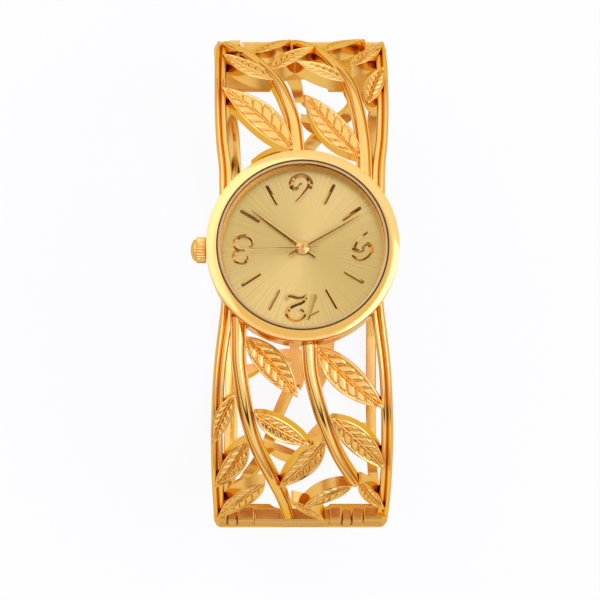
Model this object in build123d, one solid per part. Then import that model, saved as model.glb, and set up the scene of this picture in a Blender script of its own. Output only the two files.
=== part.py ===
from build123d import *
import os
from math import asin, atan2, cos, pi, sin

# A hinged bangle wristwatch. All lengths are in millimetres.
# The dial faces +Z, twelve o'clock lies toward +Y and the crown toward +X.
# The origin is the centre of the wrist opening.

# Band: an oval of four arcs seen along X, hinged at +Y and clasped at -Y
band_length = 66.0
band_height = 52.0
band_width = 23.8
band_end_radius = 24.5
band_thickness = 1.8
band_corner_radius = 1.1
end_bar_inset = 0.2
end_bar_height = 3.8
cap_height = 4.9
back_plate_depth = 11.7
back_arch_radius = 4.2
back_arch_drop = 12.6

# Openwork pieces: how far each kind stands above or below the band's outer face
leaf_thickness = 1.7
vine_crown = 0.25
vine_shoulder = 0.35
vine_thickness = 1.5
rail_width = 1.55
rail_thickness = 1.95
rail_rise = 0.12
rail_groove = 0.4
rail_bead_drop = 0.16
rail_spread = 0.33
rail_seat_depth = 0.3
vine_seat_depth = 0.75
rib_width = 0.36
rib_rise = 0.14
rib_root = 0.5
back_strip_thickness = 1.3
crown_side_rail_width = 1.8
nine_side_rail_width = 1.4

# Hinge and clasp
hinge_slot_width = 1.5
hinge_finger_gap = 0.2
hinge_finger_top_gap = 0.2
hinge_pin_radius = 0.45
hinge_running_gap = 0.04
hinge_parting_gap = 0.15
hinge_pin_grip = 1.6
clasp_parting_gap = 0.15
clasp_slot_width = 1.83
clasp_pocket_width = 0.8
clasp_pocket_depth = 2.9
clasp_lip_height = 0.5
clasp_lip_depth = 0.2
clasp_inner_wall = 0.55
spring_thickness = 0.2
spring_side_gap = 0.1
spring_top_gap = 0.3
spring_foot_depth = 1.5
spring_lip_gap = 0.06
push_side_gap = 0.13
push_proud = 0.12
push_thickness = 0.62
push_height = 3.3
push_travel = 0.45
push_tenon_width = 0.7
push_tenon_depth = 1.1
push_tenon_length = 0.3
push_running_gap = 0.05

# Watch head, from the back upward
case_diameter = 24.4
case_wall = 1.3
head_drop = 3.4
back_thickness = 0.75
back_rim_height = 0.7
back_rim_wall = 0.5
back_gap = 0.04
back_chamfer = 0.4
gasket_section = 0.34
gasket_gap = 0.04
case_height = 4.6
neck_wall = 0.5
neck_height = 1.5
dial_thickness = 0.4
dial_gap = 0.06
bezel_overhang = 0.3
bezel_width = 1.25
bezel_height = 2.7
bezel_edge = 0.35
bezel_edge_height = 0.9
bezel_bevel = 0.35
crystal_thickness = 1.25
crystal_bevel = 0.2
crystal_gasket_width = 0.25
rehaut_width = 0.85
rehaut_slope = 0.45

# Movement
movement_diameter = 16.4
plate_thickness = 1.3
plate_drop = 0.5
bridge_thickness = 0.8
bridge_gap = 0.7
holder_ledge = 0.6
holder_gap = 0.05
battery_diameter = 6.8
battery_height = 1.6
coil_length = 6.0
coil_width = 2.4
coil_offset = 4.8
coil_shift = 2.0
board_thickness = 0.3
pillar_radius = 0.6
pillar_inset = 1.0
pillar_turns = (30, 100, 330)
wheel_gap = 0.05
running_gap = 0.05

# Hands and what carries them
dial_hole_radius = 1.0
hour_tube_radius = 0.85
cannon_radius = 0.5
arbor_radius = 0.2
hour_wheel_radius = 2.3
hand_thickness = 0.16
hour_hand_lift = 0.42
minute_hand_lift = 0.74
second_hand_lift = 1.04
hour_hand_length = 6.6
hour_hand_tip = 1.8
hour_hand_width = 0.62
minute_hand_length = 9.3
minute_hand_width = 0.42
second_hand_length = 6.9
second_hand_width = 0.16
hand_tail = 2.1
hand_tip_width = 0.1
hour_hand_angle = 126.6
minute_hand_angle = 240.6
second_hand_angle = 88.0
hub_radius = 0.8
second_hub_radius = 0.62

# Applied markers and numerals
marker_inner_radius = 6.2
marker_outer_radius = 9.2
marker_width = 0.36
marker_height = 0.3
numeral_radius = 7.4
numeral_height = 3.7
numeral_stroke = 0.4

# Crown and stem
crown_diameter = 3.4
crown_length = 1.3
crown_dome = 0.7
crown_step = 0.27
crown_bore_radius = 1.02
crown_bore_depth = 1.15
crown_gap = 0.3
crown_pull = 0.9
crown_flutes = 26
flute_depth = 0.15
crown_drop = 1.65
tube_radius = 0.85
tube_bore_radius = 0.5
tube_flange_radius = 0.72
tube_proud = 1.0
stem_radius = 0.42
stem_neck_radius = 0.22
stem_neck_length = 0.5
stem_reach = 4.6
lever_thickness = 0.36
lever_width = 1.6
lever_length = 2.0
lever_side_gap = 0.06
ring_section = 0.16

# One overrun serves all cuts that pass right through
overrun = 2.0

# The oval's flatter arcs, and the runs measured along its outside from the dial's centre
half_length = band_length / 2
half_height = band_height / 2
half_width = band_width / 2
end_bar_width = band_width - 2 * end_bar_inset
end_centre = half_length - band_end_radius
face_radius = (end_centre**2 + half_height**2 - band_end_radius**2) / (2 * (half_height - band_end_radius))
face_angle = asin(end_centre / (face_radius - band_end_radius))
face_run = face_radius * face_angle
half_run = face_run + band_end_radius * (pi / 2 - face_angle)

# Levels of the head
back_level = half_height - head_drop
case_level = back_level + back_thickness
case_top = case_level + case_height
neck_top = case_top + neck_height
case_radius = case_diameter / 2
bezel_diameter = case_diameter + 2 * bezel_overhang
bezel_opening = bezel_diameter - 2 * bezel_width
rehaut_opening = bezel_opening - 2 * rehaut_width
bore_radius = case_radius - case_wall
neck_radius = case_radius - neck_wall
dial_radius = bezel_opening / 2 - dial_gap
dial_seat = case_top - dial_thickness
dial_level = dial_seat + dial_thickness
crystal_level = neck_top
crown_level = case_top - crown_drop
plate_top = dial_seat - plate_drop
plate_level = plate_top - plate_thickness
bridge_top = plate_level - bridge_gap
bridge_level = bridge_top - bridge_thickness
barrel_radius = band_thickness / 2
hinge_y = half_length - barrel_radius

# Places on the band, as shares: x of half the band's width, and on the front, run of the way
# from the case's edge to the end of the half oval. Where a front vine or rail ends is worked out.
front_way = half_run - case_radius
vine_end_share = (front_way - end_bar_height + vine_seat_depth) / front_way
rail_end_share = (front_way - cap_height + rail_seat_depth) / front_way
vine_width_shares = (0.088, 0.060)
back_vine_width_shares = (0.074, 0.056)
lower_vine_shares = (
    ((0.699, -0.126), (0.699, -0.039), (0.696, 0.065), (0.662, 0.162), (0.614, 0.266), (0.549, 0.361),
     (0.458, 0.455), (0.328, 0.574), (0.213, 0.703), (0.159, 0.812), (0.128, vine_end_share)),
    ((-0.064, -0.045), (-0.074, 0.022), (-0.092, 0.108), (-0.143, 0.189), (-0.218, 0.284),
     (-0.313, 0.378), (-0.415, 0.469), (-0.530, 0.555), (-0.625, 0.621)),
)
upper_vine_shares = (
    ((0.030, -0.045), (0.058, 0.056), (0.098, 0.188), (0.173, 0.284), (0.252, 0.369), (0.346, 0.440),
     (0.458, 0.514), (0.586, 0.595), (0.699, 0.664), (0.800, 0.725), (0.880, 0.784)),
    ((-0.685, -0.126), (-0.683, -0.017), (-0.677, 0.064), (-0.655, 0.151), (-0.618, 0.241),
     (-0.566, 0.330), (-0.498, 0.404), (-0.406, 0.481), (-0.307, 0.563), (-0.202, 0.644),
     (-0.092, 0.717), (0.025, 0.802), (0.130, vine_end_share)),
)
# Each leaf: where it springs from its vine, where its tip lies, and its width as a share of its length
lower_leaf_shares = (
    (0.745, 0.192, 0.985, 0.390, 0.31),
    (0.606, 0.378, 0.960, 0.606, 0.33),
    (0.407, 0.586, 0.924, 0.823, 0.30),
    (0.625, -0.026, 0.050, 0.199, 0.35),
    (0.527, 0.266, -0.090, 0.394, 0.33),
    (-0.251, 0.378, 0.250, 0.602, 0.33),
    (-0.556, 0.603, -0.010, 0.741, 0.32),
    (0.113, 0.703, -0.265, 0.865, 0.25),
    (-0.158, 0.014, -0.895, 0.241, 0.33),
    (-0.327, 0.284, -0.920, 0.506, 0.33),
    (-0.636, 0.574, -0.925, 0.752, 0.30),
)
upper_leaf_shares = (
    (0.095, 0.053, 0.890, 0.339, 0.29),
    (0.300, 0.386, 0.885, 0.575, 0.30),
    (0.635, 0.601, 0.892, 0.717, 0.33),
    (-0.650, 0.021, -0.043, 0.294, 0.32),
    (-0.512, 0.378, 0.066, 0.509, 0.32),
    (0.330, 0.458, -0.165, 0.657, 0.32),
    (0.550, 0.593, 0.110, 0.804, 0.32),
    (-0.739, 0.261, -0.930, 0.469, 0.33),
    (-0.551, 0.481, -0.905, 0.672, 0.32),
    (-0.270, 0.617, -0.740, 0.858, 0.31),
)
# The front rails' outer edges on the two sides, and the back rails'
lower_rail_shares = (
    (0.860, -0.268), (0.898, -0.115), (0.926, -0.040), (0.956, 0.046), (0.985, 0.180), (1.000, 0.330),
    (1.000, 0.520), (0.990, 0.680), (0.975, rail_end_share),
)
upper_rail_shares = (
    (0.860, -0.268), (0.905, -0.133), (0.915, -0.012), (0.945, 0.096), (0.962, 0.230), (0.968, 0.400),
    (0.966, 0.568), (0.960, 0.717), (0.958, rail_end_share),
)
crown_side_rail_shares = (
    (0.980, -0.810), (0.920, -0.720), (0.865, -0.600), (0.865, 0.000),
    (0.878, 0.400), (0.905, 0.620), (0.940, 0.720), (0.980, 0.810),
)
nine_side_rail_shares = (
    (0.980, -0.810), (0.950, -0.720), (0.925, -0.600), (0.920, 0.000),
    (0.925, 0.600), (0.950, 0.720), (0.980, 0.810),
)
back_vine_shares = (
    ((-0.820, -0.800), (-0.690, -0.705), (-0.574, -0.640), (-0.427, -0.605), (-0.234, -0.556),
     (-0.100, -0.510), (0.100, -0.420), (0.350, -0.300), (0.600, -0.150), (0.760, 0.010),
     (0.810, 0.100)),
    ((-0.850, -0.254), (-0.660, -0.120), (-0.450, -0.010), (-0.240, 0.080), (-0.080, 0.150),
     (0.050, 0.210), (0.148, 0.262), (0.237, 0.318), (0.375, 0.431), (0.502, 0.508),
     (0.604, 0.560), (0.690, 0.650), (0.740, 0.800)),
    ((0.120, -0.840), (0.050, -0.780), (-0.010, -0.700)),
)
back_leaf_shares = (
    (-0.080, -0.500, 0.560, -0.465, 0.30),
    (-0.300, -0.575, -0.025, -0.622, 0.36),
    (-0.420, -0.610, -0.010, -0.702, 0.20),
    (0.350, -0.300, -0.050, -0.215, 0.34),
    (0.600, -0.150, 0.200, -0.050, 0.34),
    (0.450, -0.240, 0.830, -0.370, 0.32),
    (-0.600, -0.100, -0.860, -0.010, 0.32),
    (-0.560, -0.065, -0.180, -0.170, 0.32),
    (-0.360, 0.020, -0.260, 0.235, 0.30),
    (-0.100, 0.140, 0.250, 0.118, 0.36),
    (-0.020, 0.235, 0.090, 0.075, 0.26),
    (0.800, 0.205, 0.420, 0.165, 0.32),
    (0.420, 0.424, -0.100, 0.491, 0.18),
    (-0.030, 0.484, -0.400, 0.326, 0.24),
    (-0.850, 0.366, -0.450, 0.389, 0.28),
    (0.622, 0.573, 0.850, 0.700, 0.32),
)
leaf_belly_share = 0.44
rib_way_shares = (0.04, 0.5, 0.9)
# Across a vine's or a rail's section, as shares of its width
vine_crown_share = 0.16
outer_bead_shares = (0.12, 0.36)
rail_groove_shares = (0.48, 0.52)
inner_bead_shares = (0.60, 0.76)
# The hinge's two slots and the clasp's one: their middles as shares of half the end bar's width
hinge_slot_shares = (0.785, -0.525)
clasp_slot_share = 0.762
clasp_pocket_share = -0.55

# The numerals' strokes: points as shares of the numeral's height, x to the right and y upward.
# A stroke of two points is a line, and one of three points is an arc.
one_shares = (((-0.13, 0.33), (0.02, 0.48)), ((0.02, 0.48), (0.02, -0.5)))
two_shares = (
    ((-0.22, 0.18), (-0.16, 0.45), (0.08, 0.47)),
    ((0.08, 0.47), (0.26, 0.26), (0.12, -0.02)),
    ((0.12, -0.02), (-0.08, -0.28), (-0.26, -0.46)),
    ((-0.26, -0.46), (0.28, -0.46)),
)
three_shares = (
    ((-0.22, 0.3), (0.0, 0.48), (0.2, 0.28)),
    ((0.2, 0.28), (0.12, 0.08), (-0.06, 0.04)),
    ((-0.06, 0.04), (0.22, -0.06), (0.26, -0.24)),
    ((0.26, -0.24), (0.02, -0.48), (-0.24, -0.26)),
)
six_shares = (
    ((0.24, 0.47), (-0.1, 0.28), (-0.26, -0.16)),
    ((-0.26, -0.16), (0.0, -0.46), (0.26, -0.18)),
    ((0.26, -0.18), (0.0, 0.08), (-0.26, -0.16)),
)
numeral_step_share = 0.52


def bandPoint(run, lift=0):
    """Place on the front half of the band's outer face: y, z and the face's angle from +Z."""
    side = -1 if run < 0 else 1
    reach = abs(run)
    if reach <= face_run:
        angle = reach / face_radius
        y = (face_radius + lift) * sin(angle)
        z = half_height - face_radius + (face_radius + lift) * cos(angle)
    else:
        angle = face_angle + (reach - face_run) / band_end_radius
        y = end_centre + (band_end_radius + lift) * sin(angle)
        z = (band_end_radius + lift) * cos(angle)
    return side * y, z, side * angle


def spot(x, run):
    y, z, angle = bandPoint(run)
    return Vector(x, y, z)


def frontRun(share):
    return case_radius + share * front_way


def backRun(share):
    return share * half_run


def bandShell(top, bottom, width):
    """The front half of the band between two lifts, as wide as asked."""
    def arcs(lift):
        runs = (-half_run, -(half_run + face_run) / 2, -face_run, 0, face_run, (half_run + face_run) / 2, half_run)
        points = [bandPoint(run, lift)[:2] for run in runs]
        return [ThreePointArc(*points[i:i + 3]) for i in (0, 2, 4)]
    outside = arcs(top)
    inside = arcs(bottom)
    ends = [Line(outside[0] @ 0, inside[0] @ 0), Line(outside[2] @ 1, inside[2] @ 1)]
    outline = make_face(Wire(outside + ends + inside))
    return extrude(Plane.YZ * outline, amount=width / 2, both=True)


def ribbon(places, section):
    """Loft a section along places on the band, each (x, run, width)."""
    faces = []
    for i, (x, run, width) in enumerate(places):
        before = places[max(i - 1, 0)]
        after = places[min(i + 1, len(places) - 1)]
        heading = atan2(after[0] - before[0], after[1] - before[1])
        y, z, angle = bandPoint(run)
        up = Vector(0, sin(angle), cos(angle))
        along = Vector(sin(heading), cos(heading) * cos(angle), -cos(heading) * sin(angle))
        plane = Plane(origin=(x, y, z), x_dir=up.cross(along), z_dir=along)
        faces.append(plane * section(width))
    return loft(faces)


def sharedFace(width, points):
    """A closed outline whose points are (share of the width, height)."""
    return make_face(Polyline(*[(share * width, height) for share, height in points], close=True))


def vineSection(width):
    """A stem with upright sides, two bevels and a narrow crown."""
    return sharedFace(width, (
        (-1 / 2, -vine_thickness), (1 / 2, -vine_thickness), (1 / 2, -vine_shoulder),
        (vine_crown_share, vine_crown), (-vine_crown_share, vine_crown), (-1 / 2, -vine_shoulder)))


def ribSection(width):
    return sharedFace(width, ((-1 / 2, -rib_root), (1 / 2, -rib_root), (1 / 2, 0), (0, rib_rise), (-1 / 2, 0)))


def frontRailSection(width):
    """A high outer bead and a lower inner bead, with a groove between."""
    outer_bead = [(share, rail_rise) for share in outer_bead_shares]
    inner_bead = [(share, -rail_bead_drop) for share in inner_bead_shares]
    groove = [(share, -rail_groove) for share in rail_groove_shares]
    return sharedFace(width, (
        (0, -rail_thickness), (0, -rail_groove), *outer_bead, *groove, *inner_bead,
        (1, -rail_groove), (1, -rail_thickness)))


def backRailSection(width):
    return sharedFace(width, ((0, -band_thickness), (1, -band_thickness), (1, 0), (0, 0)))


def backStripSection(width):
    low = -(band_thickness + back_strip_thickness) / 2
    high = low + back_strip_thickness
    return sharedFace(width, ((-1 / 2, low), (1 / 2, low), (1 / 2, high), (-1 / 2, high)))


def vine(shares, width_shares, side, toRun, section):
    """A vine that narrows evenly from its first point to its last."""
    places = []
    for i, (x_share, run_share) in enumerate(shares):
        part_way = i / (len(shares) - 1)
        width_share = width_shares[0] * (1 - part_way) + width_shares[1] * part_way
        places.append((x_share * half_width, side * toRun(run_share), width_share * band_width))
    return ribbon(places, section)


def leaf(shares, side, toRun, shell, ribbed):
    """A pointed leaf cut from the band's shell along its own middle's normal, with its midrib."""
    base_x, base_run, tip_x, tip_run, width_share = shares
    base_run = side * toRun(base_run)
    tip_run = side * toRun(tip_run)
    base = spot(base_x * half_width, base_run)
    tip = spot(tip_x * half_width, tip_run)
    length = (tip - base).length
    angle = bandPoint((base_run + tip_run) / 2)[2]
    ground = Plane(origin=(base + tip) / 2, x_dir=tip - base, z_dir=(0, sin(angle), cos(angle)))
    belly = (leaf_belly_share - 1 / 2) * length
    half_leaf = width_share * length / 2
    outline = make_face([
        ThreePointArc((-length / 2, 0), (belly, half_leaf), (length / 2, 0)),
        ThreePointArc((length / 2, 0), (belly, -half_leaf), (-length / 2, 0)),
    ])
    blade = extrude(ground * outline, amount=2 * band_thickness, both=True) & shell
    if not ribbed:
        return [blade]
    places = []
    for part_way in rib_way_shares:
        places.append((
            (base_x * (1 - part_way) + tip_x * part_way) * half_width,
            base_run * (1 - part_way) + tip_run * part_way,
            rib_width,
        ))
    return [blade, ribbon(places, ribSection)]


def slab(x_from, x_to, y_from, y_to, z_from, z_to):
    middle = ((x_from + x_to) / 2, (y_from + y_to) / 2, (z_from + z_to) / 2)
    return Pos(*middle) * Box(abs(x_to - x_from), abs(y_to - y_from), abs(z_to - z_from))


def disc(radius, z_from, z_to):
    return Pos(0, 0, (z_from + z_to) / 2) * Cylinder(radius, z_to - z_from)


def ring(outer, inner, z_from, z_to):
    return disc(outer, z_from, z_to) - disc(inner, z_from - overrun, z_to + overrun)


def rod(radius, x_from, x_to, y=0, z=0):
    return Pos((x_from + x_to) / 2, y, z) * Rot(0, 90, 0) * Cylinder(radius, x_to - x_from)


def planOutline(width):
    """The band seen from above, with its four rounded corners."""
    return extrude(RectangleRounded(width, band_length, band_corner_radius), amount=band_height, both=True)


def hingeSlots(gap):
    """The x limits of the hinge's two slots, drawn in by a gap."""
    limits = []
    for share in hinge_slot_shares:
        middle = share * end_bar_width / 2
        limits.append((middle - hinge_slot_width / 2 + gap, middle + hinge_slot_width / 2 - gap))
    return limits


def claspSlot(gap):
    middle = clasp_slot_share * end_bar_width / 2
    return middle - clasp_slot_width / 2 + gap, middle + clasp_slot_width / 2 - gap


def openwork(vines, width_shares, leaves, side, toRun, shell, section, ribbed):
    pieces = [vine(shares, width_shares, side, toRun, section) for shares in vines]
    for shares in leaves:
        pieces += leaf(shares, side, toRun, shell, ribbed)
    return pieces


def frontRails(shares, side):
    first = shares[0][1]
    narrowed = shares[3][1]
    places = []
    for x_share, run_share in shares:
        width = rail_width + rail_spread * max(0, (narrowed - run_share) / (narrowed - first))
        places.append((x_share * half_width, side * frontRun(run_share), width))
    if side > 0:
        rail = ribbon(places, frontRailSection)
    else:
        rail = ribbon(places, lambda width: frontRailSection(width).mirror(Plane.YZ))
    return [rail, rail.mirror(Plane.YZ)]


def endBar(side, shell):
    """The solid bar and its two caps, which close a front casting's end above the parting line."""
    bar = shell & slab(-end_bar_width, end_bar_width, 0, side * band_length, 0, end_bar_height)
    cap_inner = half_width - rail_width
    caps = []
    for hand in (-1, 1):
        x_from, x_to = sorted((hand * cap_inner, hand * end_bar_width))
        caps.append(shell & slab(x_from, x_to, 0, side * band_length, 0, cap_height))
    return (bar + caps) & planOutline(end_bar_width)


def caseCut():
    return disc(case_radius, back_level - overrun, case_top + overrun)


def shoulder12():
    """The front casting on the twelve o'clock side, with the hinge's fixed knuckles."""
    shell = bandShell(-(band_thickness - leaf_thickness), -leaf_thickness, band_width)
    pieces = openwork(lower_vine_shares, vine_width_shares, lower_leaf_shares, 1, frontRun, shell, vineSection, True)
    pieces += frontRails(lower_rail_shares, 1)
    thick = bandShell(0, -band_thickness, band_width)
    pieces.append(endBar(1, thick))
    barrel = rod(barrel_radius, -end_bar_width / 2, end_bar_width / 2, hinge_y) & planOutline(end_bar_width)
    casting = pieces[0].fuse(*pieces[1:], barrel)
    for x_from, x_to in hingeSlots(0):
        casting -= slab(x_from, x_to, end_centre, band_length, -band_thickness, cap_height)
    for pin in hingePins():
        casting -= pin
    return casting - caseCut()


def hingePins():
    """Two short pins, each through one slot and gripped on both sides of it."""
    pins = []
    for x_from, x_to in hingeSlots(0):
        pins.append(rod(hinge_pin_radius, x_from - hinge_pin_grip, x_to + hinge_pin_grip, hinge_y))
    return pins


def claspPocket():
    """The space in the six o'clock end bar that the spring rises into, with its catch lip's recess."""
    x_from = clasp_pocket_share * end_bar_width / 2
    x_to = claspSlot(0)[1]
    inner = half_length - band_thickness + clasp_inner_wall
    outer = inner + clasp_pocket_width
    mouth = slab(x_from, x_to, -outer, -inner, -overrun, clasp_pocket_depth)
    recess = slab(x_from, x_to, -outer - clasp_lip_depth, -inner, clasp_lip_height, clasp_pocket_depth)
    return mouth + recess


def shoulder6():
    """The front casting on the six o'clock side, with the clasp's pocket and thumb slot."""
    shell = bandShell(-(band_thickness - leaf_thickness), -leaf_thickness, band_width)
    pieces = openwork(upper_vine_shares, vine_width_shares, upper_leaf_shares, -1, frontRun, shell, vineSection, True)
    pieces += frontRails(upper_rail_shares, -1)
    thick = bandShell(0, -band_thickness, band_width)
    pieces.append(endBar(-1, thick))
    casting = pieces[0].fuse(*pieces[1:])
    x_from, x_to = claspSlot(0)
    casting -= slab(x_from, x_to, -band_length, -end_centre, -overrun, cap_height)
    casting -= claspPocket()
    return casting - caseCut()


def claspSpring():
    """A strip folded into a narrow V: its foot is set in the back band and its free leg springs outward."""
    x_from = clasp_pocket_share * end_bar_width / 2 + spring_side_gap
    x_to = claspSlot(push_side_gap)[1]
    inner = half_length - band_thickness + clasp_inner_wall + spring_side_gap
    outer = inner + clasp_pocket_width - 2 * spring_side_gap
    top = clasp_pocket_depth - spring_top_gap
    bend = (outer - inner) / 2
    foot = slab(x_from, x_to, -inner - spring_thickness, -inner, -clasp_parting_gap - spring_foot_depth, top - bend)
    fold = Pos(0, -inner - bend, top - bend) * Rot(0, 90, 0) * (
        Cylinder(bend, 2 * end_bar_width) - Cylinder(bend - spring_thickness, 2 * end_bar_width))
    fold &= slab(x_from, x_to, -outer, -inner, top - bend, top)
    leg_bottom = clasp_lip_height + spring_lip_gap
    leg = slab(x_from, x_to, -outer, -outer + spring_thickness, leg_bottom, top - bend)
    lip_outer = outer + clasp_lip_depth
    lip = slab(x_from, claspSlot(0)[0] - push_side_gap, -lip_outer, -outer, leg_bottom, leg_bottom + spring_thickness)
    return foot + fold + leg + lip


def claspPushOuterFace():
    return half_length + push_proud


def claspPush():
    """The thumb piece, which stands in its slot before the spring's free leg and slides inward."""
    x_from, x_to = claspSlot(push_side_gap)
    outer = claspPushOuterFace()
    body = slab(x_from, x_to, -outer, -outer + push_thickness, 0, push_height)
    body = fillet(body.edges().filter_by(Axis.X).group_by(Axis.Y)[0], push_proud)
    middle = (x_from + x_to) / 2
    tenon_outer = outer - push_thickness + push_tenon_length
    tenon = slab(middle - push_tenon_width / 2, middle + push_tenon_width / 2,
                 -tenon_outer, -tenon_outer + push_tenon_length, -clasp_parting_gap - push_tenon_depth, 0)
    return body + tenon


def claspPushGroove():
    x_from, x_to = claspSlot(push_side_gap)
    middle = (x_from + x_to) / 2
    side = push_tenon_width / 2 + push_running_gap
    outer = claspPushOuterFace() - push_thickness + push_tenon_length + push_running_gap
    inner = outer - push_tenon_length - push_travel - 2 * push_running_gap
    bottom = -clasp_parting_gap - push_tenon_depth - push_running_gap
    return slab(middle - side, middle + side, -outer, -inner, bottom, overrun)


def backBand():
    """The hinged back half: flat rails, crossing strips and leaves between two end plates."""
    shell = bandShell(-(band_thickness - leaf_thickness), -leaf_thickness, band_width)
    thick = bandShell(0, -band_thickness, band_width)
    pieces = openwork(
        back_vine_shares, back_vine_width_shares, back_leaf_shares, 1, backRun, shell, backStripSection, False)
    places = [(x * half_width, backRun(run), crown_side_rail_width) for x, run in crown_side_rail_shares]
    pieces.append(ribbon(places, backRailSection))
    places = [(x * half_width, backRun(run), nine_side_rail_width) for x, run in nine_side_rail_shares]
    pieces.append(ribbon(places, backRailSection).mirror(Plane.YZ))
    for side, parting in ((1, barrel_radius + hinge_parting_gap), (-1, clasp_parting_gap)):
        plate = thick & slab(-end_bar_width, end_bar_width, 0, side * band_length, parting, back_plate_depth)
        plate -= Pos(0, side * half_length, back_arch_drop) * Rot(90, 0, 0) * Cylinder(
            back_arch_radius, band_length / 2)
        pieces.append(plate & planOutline(end_bar_width))
    band = pieces[0].fuse(*pieces[1:]).mirror(Plane.XY)
    band = band.fuse(*hingeFingers())
    band -= claspSpring()
    return band - claspPushGroove()


def hingeFingers():
    """The back half's two knuckles, round at the axis and running up flush with the end bar."""
    thick = bandShell(0, -band_thickness, band_width)
    parting = barrel_radius + hinge_parting_gap
    top = end_bar_height - hinge_finger_top_gap
    fingers = []
    for x_from, x_to in hingeSlots(hinge_finger_gap):
        upper = thick & slab(x_from, x_to, end_centre, band_length, 0, top)
        lower = thick.mirror(Plane.XY) & slab(x_from, x_to, end_centre, band_length, -parting - overrun, 0)
        bore = rod(hinge_pin_radius + hinge_running_gap, x_from - overrun, x_to + overrun, hinge_y)
        fingers.append(upper + lower - bore)
    return fingers


def profileRing(points):
    """Turn a closed outline of (radius, z) points about the Z axis."""
    return revolve(Plane.XZ * make_face(Polyline(*points, close=True)), Axis.Z)


def caseBody():
    """The case's side wall, with the neck that the bezel and crystal seat on."""
    inner = bezel_opening / 2 + dial_gap / 2
    body = profileRing([
        (bore_radius, case_level), (case_radius, case_level), (case_radius, case_top),
        (neck_radius, case_top), (neck_radius, neck_top), (inner, neck_top),
        (inner, dial_seat), (bore_radius, dial_seat),
    ])
    body -= ring(case_radius - case_wall / 2 + gasket_section / 2 + gasket_gap,
                 case_radius - case_wall / 2 - gasket_section / 2 - gasket_gap,
                 case_level - overrun, case_level + gasket_section)
    return body - rod(tube_radius, 0, case_diameter, 0, crown_level)


def bezel():
    """A broad rounded ring: a bevel inside, a full convex top and a turned-in lower edge."""
    outer = bezel_diameter / 2
    inner = bezel_opening / 2
    top = case_top + bezel_height
    edge_level = case_top + bezel_edge_height
    outline = make_face([
        Polyline((inner + bezel_bevel, top - bezel_bevel / 3), (inner, top - bezel_bevel), (inner, neck_top),
                 (neck_radius, neck_top), (neck_radius, case_top), (outer - bezel_edge, case_top),
                 (outer, case_top + bezel_edge), (outer, edge_level)),
        TangentArc((outer, edge_level), (inner + bezel_bevel, top - bezel_bevel / 3), tangent=(0, 1)),
    ])
    return revolve(Plane.XZ * outline, Axis.Z)


def crystal():
    glass = disc(bezel_opening / 2 - crystal_gasket_width, crystal_level, crystal_level + crystal_thickness)
    return chamfer(glass.edges().group_by(Axis.Z)[-1], crystal_bevel)


def crystalGasket():
    outer = bezel_opening / 2
    return ring(outer, outer - crystal_gasket_width, crystal_level, crystal_level + crystal_thickness - 2 * crystal_bevel)


def rehautRing():
    """The sloping ring between the dial's edge and the crystal."""
    outer = bezel_opening / 2 - dial_gap
    inner = rehaut_opening / 2
    return profileRing([(inner, dial_level), (outer, dial_level), (outer, neck_top), (inner + rehaut_slope, neck_top)])


def dial():
    return ring(dial_radius, dial_hole_radius, dial_seat, dial_level)


def dialMarkers():
    """Eight bars, at every hour but twelve, three, six and nine."""
    length = marker_outer_radius - marker_inner_radius
    middle = (marker_outer_radius + marker_inner_radius) / 2
    bar = Pos(0, middle, dial_level + marker_height / 2) * Box(marker_width, length, marker_height)
    return [Rot(0, 0, 30 * hour) * bar for hour in range(12) if hour % 3]


def numeral(strokes):
    """A numeral from its strokes, lines of two points and arcs of three."""
    solids = []
    for stroke in strokes:
        points = [(x * numeral_height, y * numeral_height) for x, y in stroke]
        line = Line(*points) if len(points) == 2 else ThreePointArc(*points)
        solids.append(extrude(trace(line, line_width=numeral_stroke), amount=marker_height))
    return solids[0].fuse(*solids[1:])


def dialNumerals():
    step = numeral_step_share * numeral_height
    return [
        Pos(-step / 2, numeral_radius, dial_level) * numeral(one_shares),
        Pos(step / 2, numeral_radius, dial_level) * numeral(two_shares),
        Pos(numeral_radius, 0, dial_level) * numeral(three_shares),
        Pos(0, -numeral_radius, dial_level) * numeral(six_shares),
        Pos(-numeral_radius, 0, dial_level) * Rot(0, 0, 180) * numeral(six_shares),
    ]


def caseBack():
    """A snap back: a chamfered plate with a rim that presses into the case's bore."""
    outer = case_radius - back_chamfer
    rim = bore_radius - back_gap
    return profileRing([
        (0, back_level), (outer, back_level), (case_radius, back_level + back_chamfer), (case_radius, case_level),
        (rim, case_level), (rim, case_level + back_rim_height), (rim - back_rim_wall, case_level + back_rim_height),
        (rim - back_rim_wall, case_level), (0, case_level),
    ])


def caseBackGasket():
    middle = case_radius - case_wall / 2
    return ring(middle + gasket_section / 2, middle - gasket_section / 2, case_level, case_level + gasket_section)


def movementHolder():
    """The plastic ring that centres the movement in the case."""
    outer = bore_radius - holder_gap
    inner = movement_diameter / 2
    level = case_level + back_rim_height + holder_gap
    body = ring(outer, inner, level, dial_seat)
    body -= rod(tube_radius + holder_gap, 0, case_diameter, 0, crown_level)
    return body - leverSpace()


def leverSpace():
    """Room in the movement for the setting lever's travel beside the stem."""
    x_from = stemInner() - lever_side_gap
    x_to = x_from + lever_length + crown_pull + 2 * lever_side_gap
    side = lever_width / 2 + lever_side_gap
    height = stem_radius + lever_thickness + lever_side_gap
    return slab(x_from, x_to, -side, side, crown_level - height, crown_level + stem_radius + lever_side_gap)


def stemInner():
    return case_radius - stem_reach


def movementPlate():
    """The main plate, bored for the hands' arbors and slotted for the stem."""
    plate = disc(movement_diameter / 2, plate_level, plate_top)
    plate -= disc(cannon_radius + running_gap, plate_level - overrun, plate_top + overrun)
    seat = ring(movement_diameter / 2, movement_diameter / 2 - holder_ledge, plate_top, dial_seat)
    plate += seat
    plate -= leverSpace()
    return plate - rod(stem_radius + running_gap, stemInner(), movement_diameter, 0, crown_level)


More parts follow.
